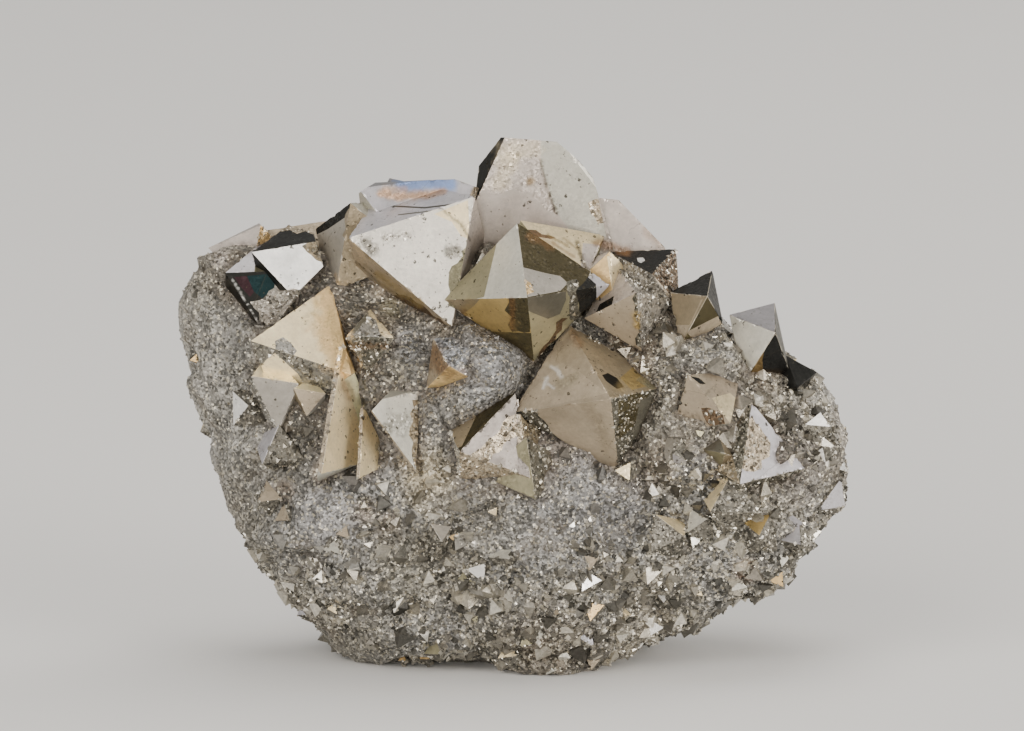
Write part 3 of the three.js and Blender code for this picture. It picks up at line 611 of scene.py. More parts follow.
# ---------------------------------------------------------------- how the pieces are finished
TURNED_TO_VIEWER = 0.05  # least share of a face's normal that points at the viewer
MERGED_WITHIN = 0.003 * MM
SLIVER = 0.02 * MM
FLAT_WITHIN = math.radians(0.6)
HIDDEN_STEP = 1.3 * MM  # longest edge of a crystal's mesh where it faces away
SMALL_STEP = 1.2 * MM
MOST_SPLITS = 9
SHARP_EDGE = 0.25  # radians
SMALL_EDGE = 0.03 * MM
CHIP_DEPTH = 0.35 * MM
CHIP_WAVES = (1.1 * MM, 0.4 * MM)
RAGGED_FROM = 0.35  # grain from which a patch has a broken outline
RAGGED_SIDE = 7.0  # pixels
RAGGED_WIDTH = 6.0
STAIN_FADE = 1.35  # share of its radius at which a stain ends
PITTED_FROM = 0.9  # grain from which a stain is pitted as well
STAIN_PITS = 1.6
PATCH_PITS = 0.3
# How far and how strongly a crystal's foot is painted darker brown: dirt and painted shade.
FEET_DIRT_AND_SHADE_REACH = 0.7 * MM
FEET_DIRT_AND_SHADE_STRENGTH = 0.4
# How far and how strongly the rock beside the crystals is painted darker brown: dirt and painted shade.
ROCK_DIRT_AND_SHADE_REACH = 1.8 * MM
ROCK_DIRT_AND_SHADE_STRENGTH = 0.6
# Painted shade in the rock's hollows and painted light on its crags, from the relief.
PAINTED_RELIEF_LIGHT_AND_SHADE = 400.0  # how much darker the rock is per metre of hollow
SOCKET_DEPTH = 0.7 * MM  # how far the rock sinks under a crystal
SOCKET_REACH = 1.2 * MM
NEAR_CRYSTAL = 3.0 * MM
GRAINY = 0.7  # grain from which grains are strewn on a crystal
SHADED_LIGHTS = (0.8, 1.05, 0.7, 0.95, 0.6, 1.1, 0.85)
OPEN_GRAIN = 0.15
BACK_SHARE = 0.35  # density of the grains behind, against those in front
ON_CRYSTALS = 1.2  # density of the grains on crystals, against those on the rock
VALUE_KEYS = {"FLOAT_COLOR": "color", "FLOAT_VECTOR": "vector", "FLOAT": "value"}


def palette(name):
    return np.array(getattr(bpy.context.scene.specimen_palette, name))


class Look:
    """Colour, roughness, grain and pits of one face; its colour times its lightness gives tarnish together
    with painted light, painted shade and painted reflection.
    """

    def __init__(self, name, light, pits, grain):
        self.tint = np.clip(palette(name) * light, 0, 1)
        self.finish = (bpy.context.scene.specimen_crystals.roughness, grain, pits)


def eased(share):
    share = np.clip(share, 0, 1)
    return share * share * (3 - 2 * share)


def smooth_share(distance, radius):
    return eased(STAIN_FADE - distance / radius)


def uneven(points, scale):
    """Noise about 0 at standing points, one wave about scale metres long."""
    return np.array([noise.noise(Vector(p) / scale) for p in points])


def finish_mesh(mesh, name, material):
    mesh.name = name
    mesh.materials.clear()
    mesh.materials.append(material)


def new_object(name, mesh, material):
    finish_mesh(mesh, name, material)
    obj = bpy.data.objects.new(name, mesh)
    bpy.context.scene.collection.objects.link(obj)
    return obj


def made_mesh(name, bm):
    """The mesh of an edited one, which is let go."""
    mesh = bpy.data.meshes.new(name)
    bm.to_mesh(mesh)
    bm.free()
    return mesh


def mesh_places(mesh):
    places = np.empty(len(mesh.vertices) * 3)
    mesh.vertices.foreach_get("co", places)
    return places.reshape(-1, 3)


def inside_box(points):
    low, high = np.array(CAD_BOX[0]), np.array(CAD_BOX[1])
    return np.clip(points, low, high)


def keep_in_box(mesh):
    mesh.vertices.foreach_set("co", inside_box(mesh_places(mesh)).ravel())
    mesh.update()


def per_corner(bm, value):
    """A value of each face, once for each of its corners."""
    return np.array([value(face) for face in bm.faces for _ in face.loops])


def store(mesh, name, kind, values, domain="POINT"):
    """Keeps values on a mesh's points or corners, where the materials read them."""
    layer = mesh.attributes.new(name, kind, domain)
    layer.data.foreach_set(VALUE_KEYS[kind], np.ascontiguousarray(values, dtype=np.float32).ravel())


def store_tints(mesh, tints, domain="POINT"):
    store(mesh, "tint", "FLOAT_COLOR", np.column_stack([tints, np.ones(len(tints))]), domain)


def finish_piece(piece, slot, *nodes):
    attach(piece, "root")
    if nodes:
        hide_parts(*nodes)


# ---------------------------------------------------------------- materials
# Cells and waves, per metre of the specimen.
FACE_GRAINS, FACE_PITS, FACE_SPECKS, FACE_CRACKS = 3300, 1050, 2700, 120
ROCK_GRAINS, ROCK_FINES = 1200, 3200
# Colours under the palette's, in linear light.
PIT_DARK = (0.035, 0.03, 0.02, 1)
SPECK_DARK = (0.07, 0.06, 0.04, 1)
CRACK_DARK = (0.06, 0.05, 0.035, 1)
FLECK_AND_CREVICE_SHADE = (0.03, 0.028, 0.022, 1)
WARM_DUST = (0.2, 0.14, 0.07, 1)
GLINT = (0.78, 0.72, 0.58, 1)
MIRROR_TINT = (0.65, 0.64, 0.61, 1)
GRAIN_DARKEST, GRAIN_LIGHTEST = (0.02, 0.019, 0.015, 1), (0.95, 0.91, 0.8, 1)
GRAIN_TONES = ((0.14, "3a3830"), (0.38, "78746a"), (0.58, "a19b8d"), (0.76, "cbc3b0"))


class Graph:
    """Adds nodes to a tree, with their inputs, in one call each."""

    def __init__(self, tree):
        self.tree = tree
        tree.nodes.clear()

    def add(self, kind, inputs=None, **values):
        node = self.tree.nodes.new(kind)
        for key, value in values.items():
            setattr(node, key, value)
        for key, value in (inputs or {}).items():
            if isinstance(value, bpy.types.NodeSocket):
                self.tree.links.new(value, node.inputs[key])
            else:
                node.inputs[key].default_value = value
        return node

    def math(self, operation, a, b=0.0, clamp=False):
        return self.add("ShaderNodeMath", {0: a, 1: b}, operation=operation, use_clamp=clamp).outputs[0]

    def mix(self, share, a, b, blend="MIX"):
        node = self.add("ShaderNodeMix", {0: share, 6: a, 7: b}, data_type="RGBA", blend_type=blend)
        return node.outputs[2]

    def spread(self, value, low, high, to_low, to_high):
        inputs = {"Value": value, "From Min": low, "From Max": high, "To Min": to_low, "To Max": to_high}
        return self.add("ShaderNodeMapRange", inputs).outputs["Result"]

    def vector(self, operation, inputs):
        return self.add("ShaderNodeVectorMath", inputs, operation=operation).outputs[0]

    def place(self):
        return self.add("ShaderNodeTexCoord").outputs["Object"]

    def attribute(self, name, output):
        return self.add("ShaderNodeAttribute", attribute_name=name).outputs[output]

    def channels(self, shade):
        return self.add("ShaderNodeSeparateColor", {0: shade}).outputs

    def dimmed(self, shade, value):
        """A colour times a value."""
        grey = self.add("ShaderNodeCombineColor", {0: value, 1: value, 2: value}).outputs[0]
        return self.mix(1.0, shade, grey, "MULTIPLY")

    def random(self, low, high, seed):
        """A random number for each strewn crystal, or three where low and high are three."""
        if isinstance(low, tuple):
            inputs, kind, output = {0: low, 1: high, 8: seed}, "FLOAT_VECTOR", 0
        else:
            inputs, kind, output = {2: low, 3: high, 8: seed}, "FLOAT", 1
        return self.add("FunctionNodeRandomValue", inputs, data_type=kind).outputs[output]

    def noise(self, place, scale, detail=3.0, rough=0.55):
        inputs = {"Vector": place, "Scale": scale, "Detail": detail, "Roughness": rough}
        return self.add("ShaderNodeTexNoise", inputs).outputs["Fac"]

    def cells(self, place, scale):
        return self.add("ShaderNodeTexVoronoi", {"Vector": place, "Scale": scale})

    def leaned(self, cell_colour, strength):
        """The surface's normal, leaned another way in each cell, as facets of grains lean."""
        lean = self.vector("ADD", {0: cell_colour, 1: (-0.5, -0.5, -0.5)})
        lean = self.vector("SCALE", {0: lean, "Scale": strength})
        normal = self.add("ShaderNodeNewGeometry").outputs["Normal"]
        return self.vector("NORMALIZE", {0: self.vector("ADD", {0: normal, 1: lean})})

    def surface(self, inputs):
        shader = self.add("ShaderNodeBsdfPrincipled", inputs)
        self.add("ShaderNodeOutputMaterial", {"Surface": shader.outputs[0]})


def new_material(name):
    material = bpy.data.materials.new(name)
    material.use_nodes = True
    return material, Graph(material.node_tree)


def crystal_face_material():
    """Metallic crystal faces: tinted per face, mottled, pitted, and granular where marked."""
    material, g = new_material("crystal_faces")
    place = g.place()
    tint = g.attribute("tint", "Color")
    rough, grain, pits = g.add("ShaderNodeSeparateXYZ", {0: g.attribute("finish", "Vector")}).outputs

    # clean metal, mottled broadly and finely
    broad = g.spread(g.noise(place, 130, 4, 0.6), 0.3, 0.7, 0.84, 1.1)
    fine = g.spread(g.noise(place, 1700, 5, 0.7), 0.3, 0.7, 0.84, 1.1)
    mottled = g.dimmed(tint, g.math("MULTIPLY", broad, fine))

    # grains, each its own lightness
    grains = g.cells(place, FACE_GRAINS)
    grain_value = g.channels(grains.outputs["Color"])[0]
    grain_share = g.math("MULTIPLY", grain, g.spread(g.noise(place, 500, 2), 0.35, 0.6, 0.25, 1))
    grained = g.mix(grain_share, mottled, g.dimmed(mottled, g.spread(grain_value, 0, 1, 0.35, 1.45)))

    # pits, with ragged rims
    wander = g.add("ShaderNodeTexNoise", {"Vector": place, "Scale": 1900, "Detail": 3}).outputs["Color"]
    shifted = g.vector("ADD", {0: place, 1: g.vector("SCALE", {0: wander, "Scale": 0.0006})})
    holes = g.cells(shifted, FACE_PITS)
    hole_pick = g.channels(holes.outputs["Color"])[1]
    picked = g.math("LESS_THAN", hole_pick, g.math("MULTIPLY", pits, 0.55))
    size = g.spread(hole_pick, 0, 0.5, 0.3, 0.08)
    depth = g.math("LESS_THAN", holes.outputs["Distance"], size)
    open_pit = g.spread(g.noise(place, 2600, 2), 0.4, 0.5, 0, 1)
    pit = g.math("MULTIPLY", g.math("MULTIPLY", picked, depth), open_pit)
    pitted = g.mix(g.math("MULTIPLY", pit, 0.85), grained, PIT_DARK)

    # fine dark specks, in clouds
    specks = g.cells(shifted, FACE_SPECKS)
    speck_pick = g.channels(specks.outputs["Color"])[0]
    clouds = g.spread(g.noise(place, 330, 3), 0.42, 0.68, 0.02, 0.5)
    often = g.math("MULTIPLY", g.math("ADD", pits, 0.12), clouds)
    speck = g.math("MULTIPLY", g.math("LESS_THAN", speck_pick, often),
                   g.math("LESS_THAN", specks.outputs["Distance"], 0.3))
    pitted = g.mix(g.math("MULTIPLY", speck, 0.7), pitted, SPECK_DARK)

    # hairline cracks
    cracks = g.add("ShaderNodeTexVoronoi", {"Vector": shifted, "Scale": FACE_CRACKS},
                   feature="DISTANCE_TO_EDGE")
    hairline = g.math("MULTIPLY", g.math("LESS_THAN", cracks.outputs["Distance"], 0.006),
                      g.math("GREATER_THAN", g.noise(place, 150, 2), 0.6))
    pitted = g.mix(g.math("MULTIPLY", hairline, 0.3), pitted, CRACK_DARK)

    # growth lines, waves, pits and grains as relief
    lines = g.noise(g.add("ShaderNodeMapping", {0: place, "Scale": (1, 1, 7)}).outputs[0], 260, 4, 0.6)
    waves = g.noise(place, 220, 2, 0.4)
    height = g.math("ADD", g.math("MULTIPLY", lines, 0.35), g.math("MULTIPLY", waves, 0.9))
    height = g.math("SUBTRACT", height, g.math("MULTIPLY", pit, 0.8))
    height = g.math("ADD", height, g.math("MULTIPLY", g.noise(place, 4200, 2), g.math("ADD", grain, 0.12)))
    bump = g.add("ShaderNodeBump", {
        "Strength": 0.32, "Distance": 0.00016, "Height": height,
        "Normal": g.leaned(grains.outputs["Color"], g.math("MULTIPLY", grain_share, 0.9)),
    })
    roughness = g.math("ADD", rough, g.spread(g.noise(place, 420, 4), 0.3, 0.7, -0.06, 0.12))
    roughness = g.math("ADD", roughness, g.math("MULTIPLY", pit, 0.4), clamp=True)
    g.surface({"Base Color": pitted, "Metallic": 0.6, "Roughness": roughness, "Normal": bump.outputs[0],
               "Specular IOR Level": 0.35, "Specular Tint": MIRROR_TINT})
    return material


def rock_material():
    """Granular matrix: packed grains, each its own grey and its own lean, some of them metallic."""
    material, g = new_material("granular_matrix")
    place = g.place()
    tint = g.attribute("tint", "Color")
    coarse = g.cells(place, ROCK_GRAINS)
    fine = g.cells(place, ROCK_FINES)
    coarse_value = g.channels(coarse.outputs["Color"])[0]
    fine_value, fine_pick, _ = g.channels(fine.outputs["Color"])
    light = g.math("MULTIPLY", g.spread(coarse_value, 0, 1, 0.72, 1.2), g.spread(fine_value, 0, 1, 0.5, 1.4))
    light = g.math("MULTIPLY", light, g.spread(g.noise(place, 90, 5, 0.65), 0.3, 0.7, 0.72, 1.22))
    grained = g.dimmed(tint, light)
    # Bright cells: the rock's metal grains with painted glints.
    glint = g.math("GREATER_THAN", fine_pick, 0.9)
    lit = g.mix(g.math("MULTIPLY", glint, 0.8), grained, GLINT)
    # Dark cells: the rock's dark flecks and painted shade between its grains.
    speck = g.math("LESS_THAN", fine_pick, g.spread(g.noise(place, 260, 3), 0.35, 0.65, 0, 0.3))
    dark = g.mix(g.math("MULTIPLY", speck, 0.8), lit, FLECK_AND_CREVICE_SHADE)
    warm = g.mix(g.spread(g.noise(place, 160, 4, 0.7), 0.54, 0.72, 0, 0.25), dark, WARM_DUST)
    height = g.math("ADD", g.noise(place, 1500, 4, 0.7), g.math("MULTIPLY", g.noise(place, 5000, 2), 0.5))
    bump = g.add("ShaderNodeBump", {
        "Strength": 0.7, "Distance": 0.0003, "Height": height,
        "Normal": g.leaned(fine.outputs["Color"], 0.85),
    })
    metallic = g.spread(fine_pick, 0.5, 0.9, 0.15, 0.85)
    roughness = g.spread(fine_value, 0, 1, 0.65, 0.32)
    g.surface({"Base Color": warm, "Metallic": metallic, "Roughness": roughness, "Normal": bump.outputs[0]})
    return material


def grain_material():
    """Druse grains: each takes its own lightness from its tone, around the colour it sits on."""
    material, g = new_material("druse_grains")
    place = g.place()
    bed = g.attribute("tint", "Color")
    thick = g.attribute("druse", "Fac")
    ramp = g.add("ShaderNodeValToRGB", {0: g.attribute("tone", "Fac")})
    stops = ramp.color_ramp.elements
    stops[0].position, stops[0].color = 0.0, GRAIN_DARKEST
    stops[1].position, stops[1].color = 1.0, GRAIN_LIGHTEST
    for position, shade in GRAIN_TONES:
        stops.new(position).color = (*tone(shade), 1)
    mixed = g.mix(g.spread(thick, 0.2, 0.9, 0.8, 0.25), ramp.outputs[0], bed)
    final = g.dimmed(mixed, g.spread(g.noise(place, 2200, 3), 0.3, 0.7, 0.7, 1.15))
    bump = g.add("ShaderNodeBump", {"Strength": 0.25, "Distance": 0.0001, "Height": g.noise(place, 4000, 3)})
    roughness = g.spread(g.noise(place, 800, 2), 0.3, 0.7, 0.22, 0.45)
    g.surface({"Base Color": final, "Metallic": 0.75, "Roughness": roughness, "Normal": bump.outputs[0]})
    return material


def floor_material(shade):
    """Plain paint, a little cloudy."""
    material, g = new_material("floor_paint")
    cloud = g.spread(g.noise(g.place(), 3, 3), 0.3, 0.7, 0.98, 1.01)
    g.surface({"Base Color": g.dimmed((*shade, 1), cloud), "Roughness": 0.75})
    return material


def shared_material(name, make):
    return bpy.data.materials.get(name) or make()


# ---------------------------------------------------------------- dressed crystals
def crystal_mesh(node):
    """A copy of a crystal solid with its loose triangles merged into whole faces."""
    bm = bmesh.new()
    bm.from_mesh(node.data)
    bmesh.ops.remove_doubles(bm, verts=bm.verts, dist=MERGED_WITHIN)
    bmesh.ops.dissolve_degenerate(bm, edges=bm.edges, dist=SLIVER)
    bmesh.ops.dissolve_limit(bm, angle_limit=FLAT_WITHIN, verts=bm.verts, edges=bm.edges)
    bm.faces.ensure_lookup_table()
    return bm


def cut_patch(bm, facet_layer, look_layer, facet, outline, look_index):
    """Cuts an outline, as the viewer sees it, out of one face and gives it a look of its own."""
    eye = Vector(stood([*VIEW_CENTRE, VIEW_DISTANCE])[0])
    rays = [sight_line(u, v)[1] for u, v in outline]
    for a, b in zip(rays, rays[1:] + rays[:1]):
        faces = [f for f in bm.faces if f[facet_layer] == facet]
        edges = {e for f in faces for e in f.edges}
        verts = {v for f in faces for v in f.verts}
        normal = a.cross(b).normalized()
        bmesh.ops.bisect_plane(bm, geom=[*faces, *edges, *verts], dist=1e-7, plane_co=eye, plane_no=normal)
    ring = np.array(outline, float)
    for face in bm.faces:
        if face[facet_layer] == facet:
            if within(pictured(np.array(face.calc_center_median()))[0], ring):
                face[look_layer] = look_index


def ragged_outline(outline):
    """The outline of a rough patch, its sides broken up and uneven."""
    ring = []
    for start, end in zip(outline, [*outline[1:], outline[0]]):
        start, end = np.array(start, float), np.array(end, float)
        run = end - start
        pieces = max(1, round(math.hypot(*run) / RAGGED_SIDE))
        across = np.array([-run[1], run[0]]) / math.hypot(*run)
        for i in range(pieces):
            place = start + run * i / pieces
            jolt = noise.noise(Vector((*place * 0.37, 1.5))) * RAGGED_WIDTH if i else 0.0
            ring.append(tuple(place + across * jolt))
    return ring


def within(point, ring):
    """Whether a picture point lies inside an outline."""
    inside = False
    for (x0, y0), (x1, y1) in zip(ring, np.roll(ring, -1, 0)):
        if (y0 > point[1]) != (y1 > point[1]):
            if point[0] < x0 + (point[1] - y0) / (y1 - y0) * (x1 - x0):
                inside = not inside
    return inside


def faces_viewer(face):
    return face.normal.dot(Vector(TOWARD)) > TURNED_TO_VIEWER


def refine(bm, step):
    """Splits long edges until the mesh is fine enough for stains, less so where it faces away."""
    bmesh.ops.triangulate(bm, faces=bm.faces)
    for _ in range(MOST_SPLITS):
        bm.normal_update()
        open_faces = {f for f in bm.faces if faces_viewer(f)}
        long = []
        for edge in bm.edges:
            limit = step if any(f in open_faces for f in edge.link_faces) else HIDDEN_STEP
            if edge.calc_length() > limit:
                long.append(edge)
        if not long:
            break
        bmesh.ops.subdivide_edges(bm, edges=long, cuts=1)
        bmesh.ops.triangulate(bm, faces=[f for f in bm.faces if len(f.verts) > 3])


def bevelled(bm, edges, width):
    """Cuts edges flat and gives the new faces."""
    return bmesh.ops.bevel(bm, geom=edges, offset=width, offset_type="OFFSET", segments=1,
                           profile=0.5, affect="EDGES", clamp_overlap=True)["faces"]


def wear_and_highlight_edges(bm, wear_and_highlight_layer, edge_width):
    """Breaks the sharp convex edges and gives the new strips an uneven width; the strips are later painted
    bright: wear and a painted highlight.
    """
    sharp = [e for e in bm.edges if e.is_manifold and e.is_convex and e.calc_face_angle() > SHARP_EDGE]
    for face in bevelled(bm, sharp, edge_width):
        face[wear_and_highlight_layer] = 1


def chip_edges(bm, wear_and_highlight_layer):
    """Knocks small chips out of the broken edges."""
    edge_verts = {v for f in bm.faces if f[wear_and_highlight_layer] for v in f.verts}
    for v in edge_verts:
        chip = noise.noise(v.co / CHIP_WAVES[0]) + 0.5 * noise.noise(v.co / CHIP_WAVES[1]) - 0.12
        v.co -= v.normal * max(0.0, chip) * CHIP_DEPTH


def line_distance(seen, line):
    """Distance in the picture from points to a line of picture points."""
    line = np.array([*line, line[-1]], float)
    nearest = np.full(len(seen), np.inf)
    for a, b in zip(line, line[1:]):
        run = b - a
        along = np.clip((seen - a) @ run / max(run @ run, 1e-9), 0, 1)
        nearest = np.minimum(nearest, np.hypot(*(seen - a - along[:, None] * run).T))
    return nearest


def stain(places, corners, facing, tints, finishes):
    """Lays the stains over the corner colours of a crystal mesh."""
    seen = pictured(places)
    ragged = 1 + 0.5 * uneven(places, 0.0014) + 0.35 * uneven(places, 0.0006)
    for line, radius, name, strength, grain in STAINS:
        share = smooth_share(line_distance(seen, line) * ragged, radius)[corners] * facing
        if not share.any():
            continue
        tints += (palette(name) - tints) * (strength * share)[:, None]
        finishes[:, 1] += (np.maximum(finishes[:, 1], grain) - finishes[:, 1]) * share
        if grain > PITTED_FROM:
            finishes[:, 2] += (STAIN_PITS - finishes[:, 2]) * share


def dress_crystal(name, looks, facets, rock_tree, material):
    """Turns one crystal solid into a finished piece."""
    settings = bpy.context.scene.specimen_crystals
    bm = crystal_mesh(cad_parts[name])
    facet_layer = bm.faces.layers.int.new("facet")
    look_layer = bm.faces.layers.int.new("look")
    wear_and_highlight_layer = bm.faces.layers.int.new("worn")
    for face in bm.faces:
        face[facet_layer] = face.index + 1
        face[look_layer] = facets.get((name, face.index), default_look(face.normal))
    for seed, outline, patch_look in looks["patches"]:
        if seed[0] == name:
            cut_patch(bm, facet_layer, look_layer, seed[1] + 1, outline, patch_look)
    wear_and_highlight_edges(bm, wear_and_highlight_layer, settings.edge_width)
    refine(bm, settings.mesh_step)
    bm.normal_update()
    chip_edges(bm, wear_and_highlight_layer)
    face_looks = per_corner(bm, lambda face: face[look_layer])
    worn = per_corner(bm, lambda face: float(face[wear_and_highlight_layer]))
    facing = per_corner(bm, lambda face: float(faces_viewer(face)))
    mesh = made_mesh(name, bm)
    places = mesh_places(mesh)
    corners = np.empty(len(mesh.loops), np.int64)
    mesh.loops.foreach_get("vertex_index", corners)
    tints = np.array([look.tint for look in looks["all"]])[face_looks]
    finishes = np.array([look.finish for look in looks["all"]])[face_looks]
    # Edge strips painted bright in broken stretches: wear and a painted highlight along the edges.
    broken = np.clip(0.42 + 0.9 * uneven(places, 0.0016), 0, 0.8)[corners]
    tints += (palette("edge") - tints) * (worn * broken)[:, None]
    stain(places, corners, facing, tints, finishes)
    dirty_and_shaded_feet(places, corners, rock_tree, tints, finishes)
    for layer in ("facet", "look", "worn"):
        mesh.attributes.remove(mesh.attributes[layer])
    store_tints(mesh, tints, "CORNER")
    store(mesh, "finish", "FLOAT_VECTOR", finishes, "CORNER")
    keep_in_box(mesh)
    return new_object(f"{name}_faces", mesh, material)


def dirty_and_shaded_feet(places, corners, rock_tree, tints, finishes):
    """Stains a crystal darker brown where it comes out of the rock: brown dirt, and painted shade where it
    meets the rock.
    """
    gap = np.array([rock_tree.find_nearest(Vector(p))[3] or 1.0 for p in places])
    ragged = 1 + 0.8 * uneven(places, 0.002)
    share = (np.clip(1 - gap * ragged / FEET_DIRT_AND_SHADE_REACH, 0, 1) * FEET_DIRT_AND_SHADE_STRENGTH)[corners]
    # Darkened brown: dirt and painted contact shade.
    tints += (palette("brown_matrix") * 0.6 - tints) * share[:, None]
    finishes[:, 1] = np.maximum(finishes[:, 1], share)


def default_look(normal):
    """A look for a face that no picture point names, by the way it faces."""
    turn = math.floor((math.atan2(normal.y, normal.x) / math.pi + 1) * 3 + (normal.z + 1) * 4)
    return turn % len(DEFAULT_LOOKS)


def collect_looks():
    """Finds which face each picture point lies on, over all crystals."""
    meshes = {name: crystal_mesh(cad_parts[name]) for name in CRYSTAL_NODES}
    trees = {name: BVHTree.FromBMesh(bm) for name, bm in meshes.items()}

    def face_at(u, v):
        eye, direction = sight_line(u, v)
        hits = []
        for name, tree in trees.items():
            _, _, index, distance = tree.ray_cast(eye, direction)
            if index is not None:
                hits.append((distance, name, index))
        return min(hits)[1:] if hits else None

    everything = [Look(name, light, PATCH_PITS, OPEN_GRAIN) for name, light in DEFAULT_LOOKS]
    facets = {}
    for u, v, name, light, pits, grain in FACES:
        found = face_at(u, v)
        if found:
            everything.append(Look(name, light, pits, grain))
            facets[found] = len(everything) - 1
    patches = []
    for seed, outline, name, light, grain in PATCHES:
        found = face_at(*seed)
        if found:
            outline = ragged_outline(outline) if grain >= RAGGED_FROM else outline
            everything.append(Look(name, light, PATCH_PITS, grain))
            patches.append((found, outline, len(everything) - 1))
    for bm in meshes.values():
        bm.free()
    return {"all": everything, "patches": patches}, facets


# ---------------------------------------------------------------- rock
def sphere_mesh():
    """A sphere of even triangles, finer on the side that faces the viewer."""
    bm = bmesh.new()
    bmesh.ops.create_icosphere(bm, subdivisions=6, radius=1.0)
    front = [e for e in bm.edges if all(v.co.z > 0.12 for v in e.verts)]
    bmesh.ops.subdivide_edges(bm, edges=front, cuts=1, use_grid_fill=False)
    bmesh.ops.triangulate(bm, faces=[f for f in bm.faces if len(f.verts) > 3])
    for v in bm.verts:
        v.co.normalize()
    return bm


def rock_relief(points):
    """The finer relief of the rock, in metres along the way out."""
    settings = bpy.context.scene.specimen_matrix
    crag = np.array([noise.ridged_multi_fractal(Vector(p) / 0.006, 1.0, 2.0, 3, 1.0, 2.0) for p in points])
    pebble = np.array([noise.voronoi(Vector(p) / 0.0022)[0][0] for p in points])
    return (settings.crag * (crag - 1.3) + settings.pebble * (0.45 - pebble) * 2
            + settings.grit * uneven(points, 0.0009) * 2)


def crystal_gaps(places):
    """How far each rock point is from the crystals, and how clear of them it is, from 0 to 1."""
    gap = np.full(len(places), 1.0)
    clear = np.ones(len(places))
    near = np.flatnonzero(shown(places)[:, 2] > -8)
    for name in CRYSTAL_NODES:
        one = crystal_mesh(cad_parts[name])
        tree = BVHTree.FromBMesh(one)
        for i in near:
            ground, normal, _, distance = tree.find_nearest(Vector(places[i]), NEAR_CRYSTAL)
            if ground is None:
                continue
            gap[i] = min(gap[i], distance)
            buried = (Vector(places[i]) - ground).dot(normal) < 0
            clear[i] = min(clear[i], 0.0 if buried else min(distance / SOCKET_REACH, 1.0))
        one.free()
    return gap, clear


def rock_tint(places):
    """Broad colours of the rock at its points."""
    tints = np.tile(palette("matrix"), (len(places), 1))
    broad = 0.5 + 0.5 * uneven(places, 0.011)
    tints += (palette("quartz") - tints) * (np.clip(broad * 2 - 0.9, 0, 1) * 0.5)[:, None]
    tints += (palette("brown_matrix") - tints) * (np.clip(0.75 - broad * 2, 0, 1) * 0.45)[:, None]
    seen = pictured(places)
    front = shown(places)[:, 2] > -6
    ragged = 1 + 0.5 * uneven(places, 0.003)
    for u, v, radius, name, strength in ROCK_STAINS:
        distance = np.hypot(seen[:, 0] - u, seen[:, 1] - v) * ragged
        tints += (palette(name) - tints) * (strength * smooth_share(distance, radius) * front)[:, None]
    return tints


def druse_share(places):
    """How thickly druse covers a place: most at the right and the foot of the show side."""
    x, y, z = shown(places).T

    def rise(value, low, high):
        return eased((value - low) / (high - low))

    right = rise(x, -15, 25)
    foot = 1 - rise(y, 8, 30)
    patchy = np.clip(0.75 + 1.3 * uneven(places, 0.008), 0.15, 1.2)
    share = (0.35 + 0.65 * np.maximum(right, foot) * rise(z, -12, 2)) * patchy
    seen = pictured(places)
    ragged = 1 + 0.5 * uneven(places, 0.004)
    for u, v, radius, amount in DRUSE_SPOTS:
        distance = np.hypot(seen[:, 0] - u, seen[:, 1] - v) * ragged
        share += (amount - share) * smooth_share(distance, radius) * (z > -6)
    return np.clip(share, 0, 1) * (places[:, 2] > 0.0008)


# ---------------------------------------------------------------- strewing with Geometry Nodes
SMALL_ONES = 2.2  # the higher, the more of the strewn crystals are small
SLIMMEST, STOUTEST = 0.65, 1.25  # against a regular octahedron, along each axis
TONE_SEED = 91


